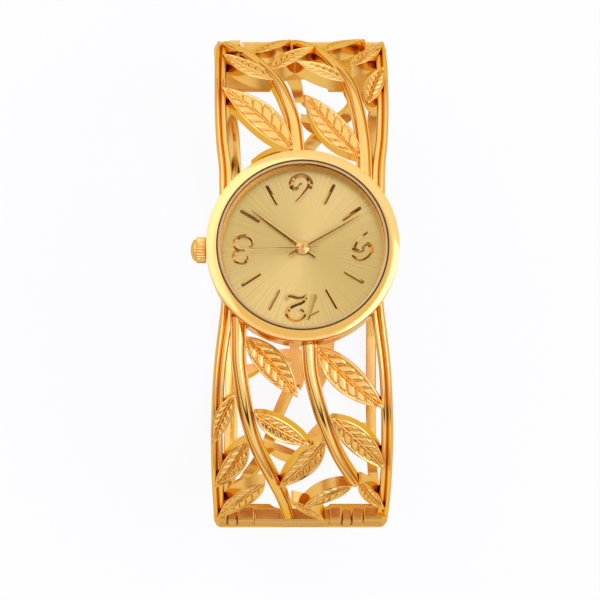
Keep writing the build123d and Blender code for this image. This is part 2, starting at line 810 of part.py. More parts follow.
def trainBridge():
    """The bridge over the train, with room for the battery and the coil."""
    bridge = disc(movement_diameter / 2, bridge_level, bridge_top)
    bridge -= disc(arbor_radius + running_gap, bridge_level - overrun, bridge_top + overrun)
    bridge -= batteryPlace(battery_diameter / 2 + holder_gap, 2 * overrun)
    reach = movement_diameter / 2 - pillar_inset
    for turn in pillar_turns:
        bridge += Rot(0, 0, turn) * Pos(reach, 0, (bridge_top + plate_level) / 2) * Cylinder(pillar_radius, bridge_gap)
    return bridge


def batteryPlace(radius, height):
    x = -(movement_diameter - battery_diameter) / 2 + holder_ledge
    return Pos(x, 0, plate_level - height / 2) * Cylinder(radius, height)


def battery():
    return batteryPlace(battery_diameter / 2, battery_height)


def coil():
    """The motor's flat coil, between the plate and the bridge."""
    height = bridge_gap - wheel_gap
    return Pos(coil_shift, -coil_offset, plate_level - height / 2) * Box(coil_length, coil_width, height)


def circuitBoard():
    middle = plate_level - board_thickness / 2
    return Pos(coil_shift, coil_offset, middle) * Box(coil_length, coil_width, board_thickness)


def crownTube():
    """The tube that the stem passes through, pressed into the case wall."""
    tube = rod(tube_radius, bore_radius, case_radius, 0, crown_level)
    tube += rod(tube_flange_radius, case_radius, case_radius + tube_proud, 0, crown_level)
    return tube - rod(tube_bore_radius, 0, case_diameter, 0, crown_level)


def crown():
    """A fluted crown with a stepped, domed end, hollow so that it slides over the tube."""
    outer = crown_diameter / 2
    inner_face = case_radius + crown_gap
    step = outer - crown_step
    dome = make_face([
        Polyline((step, crown_length), (0, crown_length), (0, crown_length + crown_dome)),
        TangentArc((0, crown_length + crown_dome), (step, crown_length), tangent=(1, 0)),
    ])
    star = []
    for i in range(crown_flutes):
        for reach, turn in ((outer - flute_depth, 0), (outer, 1 / 2)):
            angle = (i + turn) * 2 * pi / crown_flutes
            star.append((reach * cos(angle), reach * sin(angle)))
    solid = extrude(make_face(Polyline(*star, close=True)), amount=crown_length)
    solid += revolve(Plane.XZ * dome, Axis.Z)
    solid -= ring(crown_bore_radius, stem_radius, 0, crown_bore_depth)
    return Pos(inner_face, 0, crown_level) * Rot(0, 90, 0) * solid


def windingStem():
    """The stem, with the neck that the setting lever grips."""
    inner = stemInner()
    stem = rod(stem_radius, inner, case_radius + crown_gap, 0, crown_level)
    neck_from = inner + lever_length / 2 - stem_neck_length / 2
    neck = rod(stem_radius + overrun, neck_from, neck_from + stem_neck_length, 0, crown_level)
    neck -= rod(stem_neck_radius, neck_from - overrun, neck_from + stem_neck_length + overrun, 0, crown_level)
    return stem - neck


def crownGasket():
    """The ring inside the crown that seals on the tube."""
    start = case_radius + crown_gap + crown_step / 2
    outer = crown_bore_radius
    seal = rod(outer, start, start + ring_section * 2, 0, crown_level)
    return seal - rod(tube_flange_radius + running_gap, start - overrun, start + overrun, 0, crown_level)


def settingLever():
    """The lever under the stem, whose fork sits in the stem's neck and slides with it."""
    inner = stemInner()
    bottom = crown_level - stem_radius - lever_thickness
    top = crown_level - stem_radius - running_gap
    lever = slab(inner, inner + lever_length, -lever_width / 2, lever_width / 2, bottom, top)
    fork_middle = inner + lever_length / 2
    side = stem_neck_length / 2 - lever_side_gap
    fork = slab(fork_middle - side, fork_middle + side, -stem_radius, stem_radius, top,
                crown_level - stem_neck_radius - running_gap)
    return lever + fork


def hourWheel():
    """The hour wheel and its tube, which carries the hour hand."""
    level = plate_top + wheel_gap
    disc_top = dial_seat - wheel_gap
    wheel = disc(hour_wheel_radius, level, disc_top)
    wheel += disc(hour_tube_radius, level, dial_level + hour_hand_lift)
    return wheel - disc(cannon_radius + running_gap, level - overrun, dial_level + overrun)


def cannonPinion():
    pinion = disc(cannon_radius, plate_level, dial_level + minute_hand_lift)
    return pinion - disc(arbor_radius + running_gap, plate_level - overrun, dial_level + overrun)


def secondsArbor():
    return disc(arbor_radius, bridge_level, dial_level + second_hand_lift)


def handOutline(length, width, tip, hub):
    """A straight tapering hand: tail, round hub, blade and fine tip, pointing along +Y."""
    blade = make_face(Polyline(
        (-width / 3, -hand_tail), (width / 3, -hand_tail), (width / 2, 0), (width / 2, length - tip),
        (hand_tip_width / 2, length), (-hand_tip_width / 2, length), (-width / 2, length - tip), (-width / 2, 0),
        close=True))
    return blade + Circle(hub)


def hand(length, width, tip, hub, lift, angle, bore):
    outline = handOutline(length, width, tip, hub)
    if bore:
        outline -= Circle(bore)
    return Pos(0, 0, dial_level + lift) * Rot(0, 0, -angle) * extrude(outline, amount=hand_thickness)


def hourHand():
    return hand(hour_hand_length + hour_hand_tip, hour_hand_width, hour_hand_tip, hour_tube_radius, hour_hand_lift,
                hour_hand_angle, cannon_radius + running_gap)


def minuteHand():
    return hand(minute_hand_length, minute_hand_width, minute_hand_length - hand_tail, hub_radius, minute_hand_lift,
                minute_hand_angle, arbor_radius + running_gap)


def secondHand():
    return hand(second_hand_length, second_hand_width, hand_tail, second_hub_radius, second_hand_lift,
                second_hand_angle, 0)


def parts():
    return {
        "case_body": caseBody(),
        "bezel": bezel(),
        "crystal": crystal(),
        "crystal_gasket": crystalGasket(),
        "rehaut_ring": rehautRing(),
        "dial": dial(),
        "dial_markers": dialMarkers(),
        "dial_numerals": dialNumerals(),
        "case_back": caseBack(),
        "case_back_gasket": caseBackGasket(),
        "movement_holder": movementHolder(),
        "movement_plate": movementPlate(),
        "train_bridge": trainBridge(),
        "battery": battery(),
        "motor_coil": coil(),
        "circuit_board": circuitBoard(),
        "crown_tube": crownTube(),
        "crown": crown(),
        "crown_gasket": crownGasket(),
        "winding_stem": windingStem(),
        "setting_lever": settingLever(),
        "hour_wheel": hourWheel(),
        "hour_hand": hourHand(),
        "cannon_pinion": cannonPinion(),
        "minute_hand": minuteHand(),
        "seconds_arbor": secondsArbor(),
        "second_hand": secondHand(),
        "hinge_pins": hingePins(),
        "clasp_spring": claspSpring(),
        "clasp_push": claspPush(),
        "back_band": backBand(),
        "shoulder_12": shoulder12(),
        "shoulder_6": shoulder6(),
    }


os.makedirs("parts", exist_ok=True)
for name, shape in parts().items():
    solids = []
    for piece in shape if isinstance(shape, list) else [shape]:
        solids += piece.solids()
    node = solids[0] if len(solids) == 1 else Compound(children=solids)
    export_step(node, f"parts/{name}.step")
    print(name, len(solids), round(sum(solid.volume for solid in solids), 3))
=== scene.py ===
from math import asin, cos, pi, radians, sin
import bmesh
import bpy
import numpy as np
from mathutils import Matrix, Vector


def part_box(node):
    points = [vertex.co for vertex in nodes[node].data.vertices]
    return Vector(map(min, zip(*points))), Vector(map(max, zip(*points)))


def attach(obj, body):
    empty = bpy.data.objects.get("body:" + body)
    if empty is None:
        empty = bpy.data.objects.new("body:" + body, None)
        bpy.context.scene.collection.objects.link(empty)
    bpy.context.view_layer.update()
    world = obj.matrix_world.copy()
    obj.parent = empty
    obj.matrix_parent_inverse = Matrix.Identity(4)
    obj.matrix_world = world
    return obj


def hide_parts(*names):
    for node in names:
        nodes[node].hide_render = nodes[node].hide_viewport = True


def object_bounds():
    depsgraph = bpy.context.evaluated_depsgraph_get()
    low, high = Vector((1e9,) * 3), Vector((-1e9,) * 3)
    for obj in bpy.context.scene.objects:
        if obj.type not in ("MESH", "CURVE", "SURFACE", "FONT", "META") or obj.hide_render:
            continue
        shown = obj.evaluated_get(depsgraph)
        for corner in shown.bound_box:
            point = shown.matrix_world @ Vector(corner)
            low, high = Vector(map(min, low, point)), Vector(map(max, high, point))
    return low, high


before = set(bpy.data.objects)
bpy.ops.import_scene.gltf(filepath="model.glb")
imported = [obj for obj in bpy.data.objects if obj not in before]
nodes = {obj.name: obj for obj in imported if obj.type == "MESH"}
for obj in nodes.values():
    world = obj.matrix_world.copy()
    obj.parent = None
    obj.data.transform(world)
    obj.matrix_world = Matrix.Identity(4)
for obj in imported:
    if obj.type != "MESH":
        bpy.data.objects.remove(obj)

cadLow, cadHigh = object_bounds()
scene = bpy.context.scene
scene.view_settings.view_transform = "Standard"

# Shapes are worked out in millimetres, in the frame's own axes: +Z out of the dial, +Y to twelve o'clock
# and +X to the crown
mm = 0.001


def nodeBox(name):
    low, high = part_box(name)
    return np.array(low) / mm, np.array(high) / mm


caseLow, caseHigh = nodeBox("case_body")
bezelLow, bezelHigh = nodeBox("bezel")
dialLow, dialHigh = nodeBox("dial")
caseRadius = caseHigh[0]

band = {"halfWidth": 11.9, "endRadius": 24.5, "thickness": 1.8}
band["halfLength"] = nodeBox("shoulder_12")[1][1]
band["halfHeight"] = -nodeBox("back_band")[0][2]
endRadius = band["endRadius"]
endCentre = band["halfLength"] - endRadius
faceRadius = (endCentre**2 + band["halfHeight"]**2 - endRadius**2) / (2 * (band["halfHeight"] - endRadius))
faceAngle = asin(endCentre / (faceRadius - endRadius))
faceRun = faceRadius * faceAngle
halfRun = faceRun + endRadius * (pi / 2 - faceAngle)
frontWay = halfRun - caseRadius
print("frame read: half run", round(halfRun, 2), "mm")


def onBand(x, run, lift, front=1):
    # A place on the oval: a flat arc over the middle out to faceRun, then an end arc of smaller radius.
    # The angle from the Z axis is run over radius, and lift is added to the radius.
    reach = np.abs(run)
    flat = reach <= faceRun
    angle = np.where(flat, reach / faceRadius, faceAngle + (reach - faceRun) / endRadius)
    radius = np.where(flat, faceRadius, endRadius) + lift
    y = np.where(flat, 0, endCentre) + radius * np.sin(angle)
    z = np.where(flat, band["halfHeight"] - faceRadius, 0) + radius * np.cos(angle)
    return np.stack(np.broadcast_arrays(x, np.sign(run) * y, front * z), -1)


def through(points, spacing):
    # A cubic Hermite curve through the points, whose slope at each point comes from its neighbours
    points = np.asarray(points, float)
    steps = np.linalg.norm(np.diff(points[:, :2], axis=0), axis=1)
    knots = np.concatenate([[0], np.cumsum(steps)])
    slopes = np.gradient(points, knots, axis=0)
    at = np.linspace(0, knots[-1], max(8, int(knots[-1] / spacing)))
    i = np.clip(np.searchsorted(knots, at, side="right") - 1, 0, len(knots) - 2)
    step = (knots[i + 1] - knots[i])[:, None]
    t = (at - knots[i])[:, None] / step
    return ((1 + 2 * t) * (1 - t)**2 * points[i] + t * (1 - t)**2 * step * slopes[i]
            + t * t * (3 - 2 * t) * points[i + 1] + t * t * (t - 1) * step * slopes[i + 1])


def sideways(path):
    # Unit normals of a plane curve: its tangent turned by a quarter turn
    tangent = np.gradient(path[:, :2], axis=0)
    tangent /= np.linalg.norm(tangent, axis=1)[:, None]
    return np.stack([tangent[:, 1], -tangent[:, 0]], -1)


def gridQuads(grid, base=0, closed=False):
    # Corners of the faces of a grid that closes round its second direction, and if asked round its first one too
    index = base + np.arange(grid.shape[0] * grid.shape[1]).reshape(grid.shape[:2])
    if closed:
        index = np.vstack([index, index[:1]])
    index = np.hstack([index, index[:, :1]])
    return np.stack([index[:-1, :-1], index[:-1, 1:], index[1:, 1:], index[1:, :-1]], -1).reshape(-1, 4)


def addPiece(name, points, faces, material, body="head", replaces=(), slot="gold", sharp=38, poles=False):
    # faces is a list of arrays with one face to a row. Doubles are merged, and then all faces are turned outwards.
    loops = np.concatenate([rows.ravel() for rows in faces])
    totals = np.concatenate([np.full(len(rows), rows.shape[1]) for rows in faces])
    mesh = bpy.data.meshes.new(name)
    mesh.vertices.add(len(points))
    mesh.vertices.foreach_set("co", (points * mm).astype(np.float32).ravel())
    mesh.loops.add(len(loops))
    mesh.loops.foreach_set("vertex_index", loops.astype(np.int32))
    mesh.polygons.add(len(totals))
    mesh.polygons.foreach_set("loop_start", (np.cumsum(totals) - totals).astype(np.int32))
    mesh.update(calc_edges=True)
    tidy = bmesh.new()
    tidy.from_mesh(mesh)
    bmesh.ops.remove_doubles(tidy, verts=tidy.verts, dist=1e-8)
    if poles:
        bmesh.ops.dissolve_degenerate(tidy, edges=tidy.edges, dist=1e-9)
    bmesh.ops.recalc_face_normals(tidy, faces=tidy.faces)
    tidy.to_mesh(mesh)
    tidy.free()
    mesh.polygons.foreach_set("use_smooth", np.ones(len(mesh.polygons), bool))
    mesh.set_sharp_from_angle(angle=radians(sharp))
    mesh.materials.append(material)
    piece = bpy.data.objects.new(name, mesh)
    scene.collection.objects.link(piece)
    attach(piece, body)
    if replaces:
        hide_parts(*replaces)


def makePiece(name, surfaces, material, **settings):
    # Every surface is a grid of points, closed round its second direction, with a flat face at each end
    faces, base = [], 0
    for grid in surfaces:
        n, m = grid.shape[:2]
        first, last = base + np.arange(m), base + (n - 1) * m + np.arange(m)
        faces += [gridQuads(grid, base), first[None, ::-1], last[None]]
        base += n * m
    addPiece(name, np.concatenate([grid.reshape(-1, 3) for grid in surfaces]), faces, material, **settings)


# Materials

def newMaterial(name, color, metallic, roughness, **sockets):
    material = bpy.data.materials.new(name)
    material.use_nodes = True
    shader = material.node_tree.nodes["Principled BSDF"]
    shader.inputs["Base Color"].default_value = (*color, 1)
    shader.inputs["Metallic"].default_value = metallic
    shader.inputs["Roughness"].default_value = roughness
    for socket, value in sockets.items():
        shader.inputs[socket.replace("_", " ")].default_value = value
    return material, shader


def addNode(material, kind, inputs=(), **settings):
    made = material.node_tree.nodes.new(kind)
    for key, value in settings.items():
        setattr(made, key, value)
    for key, value in dict(inputs).items():
        if isinstance(value, bpy.types.NodeSocket):
            material.node_tree.links.new(value, made.inputs[key])
        else:
            made.inputs[key].default_value = value
    return made


def addMath(material, operation, *values):
    return addNode(material, "ShaderNodeMath", enumerate(values), operation=operation).outputs["Value"]


def mixTones(material, amount, first, second):
    inputs = {"Factor": amount, "A": first, "B": second}
    return addNode(material, "ShaderNodeMix", inputs, data_type="RGBA").outputs["Result"]


def objectPlace(material):
    return addNode(material, "ShaderNodeTexCoord").outputs["Object"]


def makeFinish(name, light, deep, grain, bump, roughness, metallic=1.0, **sockets):
    # Slow noise mixes two tones and two roughnesses, and fine noise lifts the surface a little
    material, shader = newMaterial(name, light, metallic, roughness[0], **sockets)
    place = objectPlace(material)
    link = material.node_tree.links.new
    slow = addNode(material, "ShaderNodeTexNoise", {"Vector": place, "Scale": grain, "Detail": 3.0}).outputs["Fac"]
    link(mixTones(material, slow, (*deep, 1), (*light, 1)), shader.inputs["Base Color"])
    rough = addNode(material, "ShaderNodeMapRange", {"Value": slow, "From Min": 0.3, "From Max": 0.7,
                                                     "To Min": roughness[0], "To Max": roughness[1]})
    link(rough.outputs["Result"], shader.inputs["Roughness"])
    fine = addNode(material, "ShaderNodeTexNoise", {"Vector": place, "Scale": grain * 9, "Detail": 2.0})
    lift = addNode(material, "ShaderNodeBump", {"Height": fine.outputs["Fac"], "Strength": bump, "Distance": 0.00002})
    link(lift.outputs["Normal"], shader.inputs["Normal"])
    return material


# Every finish has a light and a deep tone, the scale of its grain, its bump and the range of its roughness
gold = {"tones": ((0.86, 0.52, 0.135), (0.81, 0.46, 0.1)), "edge": (0.88, 0.6, 0.26, 1.0), "grain": 260.0}


def makeGold(name, bump, roughness):
    return makeFinish(name, *gold["tones"], gold["grain"], bump, roughness, Specular_Tint=gold["edge"])


polishedGold = makeGold("polishedGold", 0.03, (0.06, 0.11))
castGold = makeGold("castGold", 0.02, (0.13, 0.2))
innerGold = makeGold("innerGold", 0.3, (0.24, 0.34))
satinGold = makeGold("satinGold", 0.03, (0.22, 0.32))
appliedGold = makeFinish("appliedGold", (0.76, 0.45, 0.11), (0.66, 0.37, 0.08), 400.0, 0.03, (0.04, 0.08))
flangeGold = makeFinish("flangeGold", (0.78, 0.47, 0.13), (0.68, 0.39, 0.09), 300.0, 0.05, (0.18, 0.28))
pinSteel = makeFinish("pinSteel", (0.28, 0.22, 0.14), (0.18, 0.14, 0.09), 400.0, 0.05, (0.25, 0.35))
steel = makeFinish("steel", (0.66, 0.66, 0.67), (0.52, 0.52, 0.53), 300.0, 0.3, (0.16, 0.28))
nickel = makeFinish("nickel", (0.6, 0.59, 0.55), (0.48, 0.47, 0.44), 300.0, 0.6, (0.26, 0.38))
copper = makeFinish("copper", (0.66, 0.26, 0.1), (0.42, 0.14, 0.05), 500.0, 1.0, (0.3, 0.4), 0.9)
rubber = makeFinish("rubber", (0.03,) * 3, (0.015,) * 3, 300.0, 0.6, (0.6, 0.8), 0.0)
# The glass seal is a real part, but its dark brown tone is painted shade for the narrow groove between bezel and glass
sealPaintedShade = makeFinish("sealPaintedShade", (0.22, 0.13, 0.04), (0.12, 0.07, 0.02), 300.0, 0.3, (0.25, 0.35), 0.0)
holderPlastic = makeFinish("holderPlastic", (0.74, 0.74, 0.7), (0.66, 0.66, 0.62), 200.0, 0.6, (0.45, 0.6), 0.0)
boardGreen = makeFinish("boardGreen", (0.012, 0.12, 0.05), (0.006, 0.06, 0.03), 400.0, 0.5, (0.3, 0.4), 0.0)
# The glass edge's gold tone is a painted reflection, not a colour of the glass
glassEdgeReflection = makeFinish("glassEdgeReflection", (0.66, 0.43, 0.15), (0.56, 0.35, 0.1), 300.0, 0.1, (0.3, 0.4), 0.3, Alpha=0.85)
crystalGlass, _ = newMaterial("crystalGlass", (0.1, 0.08, 0.04), 0.0, 0.02, Alpha=0.04)

# The dial: a champagne plate brushed from its middle outward. Fine streaks follow the angle about the middle,
# and the plate's gloss is stretched round it, so that two bright fans lie across it.
dialFinish = {"light": (0.735, 0.525, 0.148), "dark": (0.585, 0.4, 0.097), "streaks": 46.0,
              "contrast": (0.3, 0.7), "roughness": 0.36, "stretch": 0.75}
dialPlate, shader = newMaterial("dialPlate", dialFinish["light"], 1.0, dialFinish["roughness"],
                                Anisotropic=dialFinish["stretch"])
parts = addNode(dialPlate, "ShaderNodeSeparateXYZ", {"Vector": objectPlace(dialPlate)}).outputs
angle = addMath(dialPlate, "ARCTAN2", parts["Y"], parts["X"])
spun = addMath(dialPlate, "MULTIPLY", angle, dialFinish["streaks"])
streak = addNode(dialPlate, "ShaderNodeTexNoise", {"W": spun, "Scale": 1.0, "Detail": 4.0}, noise_dimensions="1D")
sharper = addNode(dialPlate, "ShaderNodeMapRange", {
    "Value": streak.outputs["Fac"], "From Min": dialFinish["contrast"][0], "From Max": dialFinish["contrast"][1]})
tone = mixTones(dialPlate, sharper.outputs["Result"], (*dialFinish["dark"], 1), (*dialFinish["light"], 1))
dialPlate.node_tree.links.new(tone, shader.inputs["Base Color"])
around = addNode(dialPlate, "ShaderNodeTangent", direction_type="RADIAL", axis="Z")
dialPlate.node_tree.links.new(around.outputs["Tangent"], shader.inputs["Tangent"])
print("materials ready")

# Openwork

vineForm = {"startShare": 0.088, "endShare": 0.06, "crown": 0.26, "flank": -0.3, "lip": -0.22,
            "bodyShare": 0.37, "lipShare": 0.445, "lipHalfShare": 0.055, "thickness": 1.5, "sideRow": 0.6,
            "spacing": 0.22, "neck": 1.4, "neckShare": 0.8, "neckDrop": 0.5, "noseFall": 1.3}
# Shares of the width and lifts of the strip under a vine or rail that runs into an end bar
neckLoop = (np.array([-0.5, -0.4, 0.4, 0.5, 0.5, -0.5]), np.array([-0.1, 0.0, 0.0, -0.1, -0.95, -0.95]))


def halfRound(across, middle, half):
    # Half of a circle over the stretch from middle - half to middle + half, as a share of its height
    return np.sqrt(np.clip(1 - ((across - middle) / half)**2, 0, 1))


def vineLoop():
    # Across the top: a half-round body, a groove on each side and a thin lip at each edge. Then the upright sides.
    f = vineForm
    across = np.linspace(-0.5, 0.5, 45)
    top = f["flank"] + np.maximum((f["crown"] - f["flank"]) * halfRound(across, 0, f["bodyShare"]),
                                  (f["lip"] - f["flank"])
                                  * halfRound(np.abs(across), f["lipShare"], f["lipHalfShare"]))
    side, low = -f["sideRow"], -f["thickness"]
    return np.concatenate([across, [0.5, 0.5, 0, -0.5, -0.5]]), np.concatenate([top, [side, low, low, low, side]])


def runLeft(places):
    # How much of a path is left at each of its points
    gone = np.concatenate([[0], np.cumsum(np.linalg.norm(np.diff(places[:, :2], axis=0), axis=1))])
    return gone[-1] - gone


leastBend = 0.02


def strip(places, shares, lifts, front, width, nose=None):
    # A closed loop of (share of the width, lift) carried along a path on the band. A nose is how far a rounded
    # tip reaches back and how deep it falls: over it the loop narrows and sinks as a quarter circle.
    side = sideways(places)
    middle = (shares.max() + shares.min()) / 2
    offset = np.broadcast_to(shares[None, :] * width[:, None], (len(places), len(shares)))
    lifts = np.broadcast_to(lifts, offset.shape)
    if nose:
        reach, fall = nose
        bend = np.sqrt(np.clip(1 - np.clip(1 - runLeft(places) / reach, 0, 1)**2, leastBend, 1))[:, None]
        centre = middle * width[:, None]
        offset = centre + (offset - centre) * bend
        lifts = np.where(lifts > -fall, -fall + (lifts + fall) * bend, lifts)
    x = places[:, :1] + offset * side[:, :1]
    run = places[:, 1:2] + offset * side[:, 1:]
    return onBand(x, run, lifts, front)


def frontPlace(x, run, side, hand=1):
    # x is a share of half the width, and run a share of the way from the case to the end
    return hand * x * band["halfWidth"], side * (caseRadius + run * frontWay)


def backPlace(x, run, hand=1):
    return hand * x * band["halfWidth"], run * halfRun


caseSeat = 0.3


def frontPath(shares, side, spacing, hand=1):
    # Only the stretch outside the case wall is kept, and as much of it inside as the seat is deep
    path = through([frontPlace(x, run, side, hand) for x, run in shares], spacing)
    y = onBand(path[:, 0], path[:, 1], 0)[:, 1]
    return path[np.hypot(path[:, 0], y) > caseRadius - caseSeat]


endBar = {"height": 3.8, "capHeight": 4.9, "inset": 0.2, "corner": 1.1, "bevel": 0.16, "facet": (0.22, 0.26),
          "firstShare": 0.3, "railSeat": 0.3, "vineSeat": 0.75}
vineEnd = (frontWay - endBar["height"] + endBar["vineSeat"]) / frontWay
railEnd = (frontWay - endBar["capHeight"] + endBar["railSeat"]) / frontWay

# Each vine's places, as shares
vines = {
    "twelve": (
        ((0.699, -0.126), (0.699, -0.039), (0.696, 0.065), (0.662, 0.162), (0.614, 0.266), (0.549, 0.361),
         (0.458, 0.455), (0.328, 0.574), (0.213, 0.703), (0.159, 0.812), (0.128, vineEnd)),
        ((-0.064, -0.045), (-0.074, 0.022), (-0.092, 0.108), (-0.143, 0.189), (-0.218, 0.284), (-0.313, 0.378),
         (-0.415, 0.469), (-0.53, 0.555), (-0.625, 0.621)),
    ),
    "six": (
        ((0.03, -0.045), (0.058, 0.056), (0.098, 0.188), (0.173, 0.284), (0.252, 0.369), (0.346, 0.44),
         (0.458, 0.514), (0.586, 0.595), (0.699, 0.664), (0.8, 0.725), (0.88, 0.784)),
        ((-0.685, -0.126), (-0.683, -0.017), (-0.677, 0.064), (-0.655, 0.151), (-0.618, 0.241), (-0.566, 0.33),
         (-0.498, 0.404), (-0.406, 0.481), (-0.307, 0.563), (-0.202, 0.644), (-0.092, 0.717), (0.025, 0.802),
         (0.13, vineEnd)),
    ),
}
# Each leaf's base, tip and width as a share of its length
leaves = {
    "twelve": (
        (0.745, 0.192, 0.985, 0.39, 0.31), (0.606, 0.378, 0.96, 0.606, 0.33), (0.407, 0.586, 0.924, 0.823, 0.3),
        (0.625, -0.026, 0.05, 0.199, 0.35), (0.527, 0.266, -0.09, 0.394, 0.33), (-0.251, 0.378, 0.25, 0.602, 0.33),
        (-0.556, 0.603, -0.01, 0.741, 0.32), (0.113, 0.703, -0.265, 0.865, 0.25),
        (-0.158, 0.014, -0.895, 0.241, 0.33), (-0.327, 0.284, -0.92, 0.506, 0.33),
        (-0.636, 0.574, -0.925, 0.752, 0.3),
    ),
    "six": (
        (0.095, 0.053, 0.89, 0.339, 0.29), (0.3, 0.386, 0.885, 0.575, 0.3), (0.635, 0.601, 0.892, 0.717, 0.33),
        (-0.65, 0.021, -0.043, 0.294, 0.32), (-0.512, 0.378, 0.066, 0.509, 0.32), (0.33, 0.458, -0.165, 0.657, 0.32),
        (0.55, 0.593, 0.11, 0.804, 0.32), (-0.739, 0.261, -0.93, 0.469, 0.33), (-0.551, 0.481, -0.905, 0.672, 0.32),
        (-0.27, 0.617, -0.74, 0.858, 0.31),
    ),
    "back": (
        (-0.08, -0.5, 0.56, -0.465, 0.3), (-0.3, -0.575, -0.025, -0.622, 0.36), (-0.42, -0.61, -0.01, -0.702, 0.2),
        (0.35, -0.3, -0.05, -0.215, 0.34), (0.6, -0.15, 0.2, -0.05, 0.34), (0.45, -0.24, 0.83, -0.37, 0.32),
        (-0.6, -0.1, -0.86, -0.01, 0.32), (-0.56, -0.065, -0.18, -0.17, 0.32), (-0.36, 0.02, -0.26, 0.235, 0.3),
        (-0.1, 0.14, 0.25, 0.118, 0.36), (-0.02, 0.235, 0.09, 0.075, 0.26), (0.8, 0.205, 0.42, 0.165, 0.32),
        (0.42, 0.424, -0.1, 0.491, 0.18), (-0.03, 0.484, -0.4, 0.326, 0.24), (-0.85, 0.366, -0.45, 0.389, 0.28),
        (0.622, 0.573, 0.85, 0.7, 0.32),
    ),
}
rails = {"shares": {"twelve": ((0.86, -0.268), (0.898, -0.115), (0.926, -0.04), (0.956, 0.046), (0.985, 0.18),
                               (1.0, 0.33), (1.0, 0.52), (0.99, 0.68), (0.975, railEnd)),
                    "six": ((0.86, -0.268), (0.905, -0.133), (0.915, -0.012), (0.945, 0.096), (0.962, 0.23),
                            (0.968, 0.4), (0.966, 0.568), (0.96, 0.717), (0.958, railEnd))},
         "width": 1.55, "spread": 0.33, "narrowed": 0.096, "thickness": 1.95, "outerBead": 0.14, "innerBead": -0.14,
         "groove": -0.52, "split": 0.49, "sideRow": 0.9, "spacing": 0.25, "neck": 1.1, "neckInset": 0.04,
         "neckDrop": 0.45, "nose": 0.7, "noseFall": 1.0}

leafForm = {"belly": 0.88, "fullness": 2.05, "spacing": 0.06, "bow": 0.03, "thickness": 1.7, "tipLift": 0.3,
            "dish": -0.1, "rimHeight": 0.14, "rimAt": 0.15, "rimWidth": 0.13, "midHeight": 0.19, "midWidth": 0.11,
            "midGroove": 0.1, "midGrooveAt": 0.22, "midGrooveWidth": 0.07, "midFade": 0.08, "veins": 7,
            "fewVeins": 6, "longFrom": 7, "veinSlant": 0.95, "veinReach": 0.6, "veinHeight": 0.08,
            "veinShare": 0.4, "veinGroove": 0.13, "veinGrooveWidth": 0.085, "veinEnd": 0.3, "veinFade": 0.15,
            "veinStart": 0.2, "veinStagger": 0.25, "veinsBeyond": 0.6, "leastHalf": 0.03, "fullHalf": 0.5,
            "edgeDrop": 0.1, "sideRow": 0.8}


def leafSurface(base, tip, widthShare, front, bowSide):
    # Along the leaf t goes from 0 to 1, and across it v from -1 to 1. Half the width is widthShare * length / 2 *
    # (1 - |2 t^belly - 1|^fullness). The top is a dish with a raised rim and midrib. Each side vein is a smooth
    # tongue that slants toward the tip and ends round before the rim, with a narrow groove about it.
    f = leafForm
    base, tip = np.array(base), np.array(tip)
    length = np.linalg.norm(tip - base)
    along = (tip - base) / length
    across = np.array([along[1], -along[0]])
    t, v = np.meshgrid(np.linspace(0, 1, int(length / f["spacing"])), np.linspace(-1, 1, 55), indexing="ij")
    half = widthShare * length / 2 * (1 - np.abs(2 * t**f["belly"] - 1)**f["fullness"])
    half = np.maximum(half, f["leastHalf"])
    y = v * half
    reach = np.abs(y)
    fade = np.clip(half / f["fullHalf"], 0, 1)
    pitch = length / ((f["veins"] if length > f["longFrom"] else f["fewVeins"]) + f["veinsBeyond"])
    phase = (t * length - f["veinSlant"] * reach) / pitch + f["veinStart"] + f["veinStagger"] * np.sign(v)
    slantCos = 1 / np.hypot(1, f["veinSlant"])
    asideFrom = (phase - np.floor(phase) - 0.5) * pitch * slantCos
    beyond = np.clip(reach - f["veinReach"] * half, 0, None) / slantCos
    distance = np.hypot(asideFrom, beyond)
    veinHalf = f["veinShare"] * pitch * slantCos
    toRim = np.clip((half - reach - f["veinEnd"]) / f["veinFade"], 0, 1)
    inside = np.clip((reach - f["midGrooveAt"]) / f["midFade"], 0, 1) * toRim * fade
    height = f["dish"] * (1 - v**2) * fade + f["tipLift"] * t**2
    height += f["rimHeight"] * np.exp(-(((half - reach) - f["rimAt"]) / f["rimWidth"])**2) * fade
    height += f["midHeight"] * np.exp(-(reach / f["midWidth"])**2) * fade
    height -= f["midGroove"] * np.exp(-((reach - f["midGrooveAt"]) / f["midGrooveWidth"])**2) * fade
    height += inside * (f["veinHeight"] * np.clip(1 - (distance / veinHalf)**2, 0, 1)
                        - f["veinGroove"] * np.exp(-((distance - pitch * slantCos / 2) / f["veinGrooveWidth"])**2))
    place = (base + t[..., None] * length * along + y[..., None] * across
             + (bowSide * f["bow"] * length * np.sin(pi * t))[..., None] * across)
    sideRow, low = np.full(len(t), -f["sideRow"]), np.full(len(t), -f["thickness"])
    walls = np.stack([height[:, -1] - f["edgeDrop"], sideRow, low, low, sideRow, height[:, 0] - f["edgeDrop"]], -1)
    place = np.concatenate([place, place[:, [-1, -1, -1, 0, 0, 0]]], 1)
    return onBand(place[..., 0], place[..., 1], np.concatenate([height, walls], 1), front)


def makeLeaves(name, rows, placed, front, body):
    # placed turns shares into a place on the band, and the leaves bow to alternate sides
    for number, (baseX, baseRun, tipX, tipRun, widthShare) in enumerate(rows, 1):
        surface = leafSurface(placed(baseX, baseRun), placed(tipX, tipRun), widthShare, front,
                              1 if number % 2 else -1)
        makePiece(f"{name}_{number:02d}", [surface], castGold, body=body)


def railLoop():
    # Two rounded beads with a groove between, over upright sides
    f = rails
    across = np.linspace(0, 1, 41)
    split, groove = f["split"], f["groove"]
    top = groove + np.maximum((f["outerBead"] - groove) * halfRound(across, split / 2, split / 2),
                              (f["innerBead"] - groove) * halfRound(across, (1 + split) / 2, (1 - split) / 2))
    side, low = -f["sideRow"], -f["thickness"]
    return np.concatenate([across, [1, 1, 0, 0]]), np.concatenate([top, [side, low, low, side]])


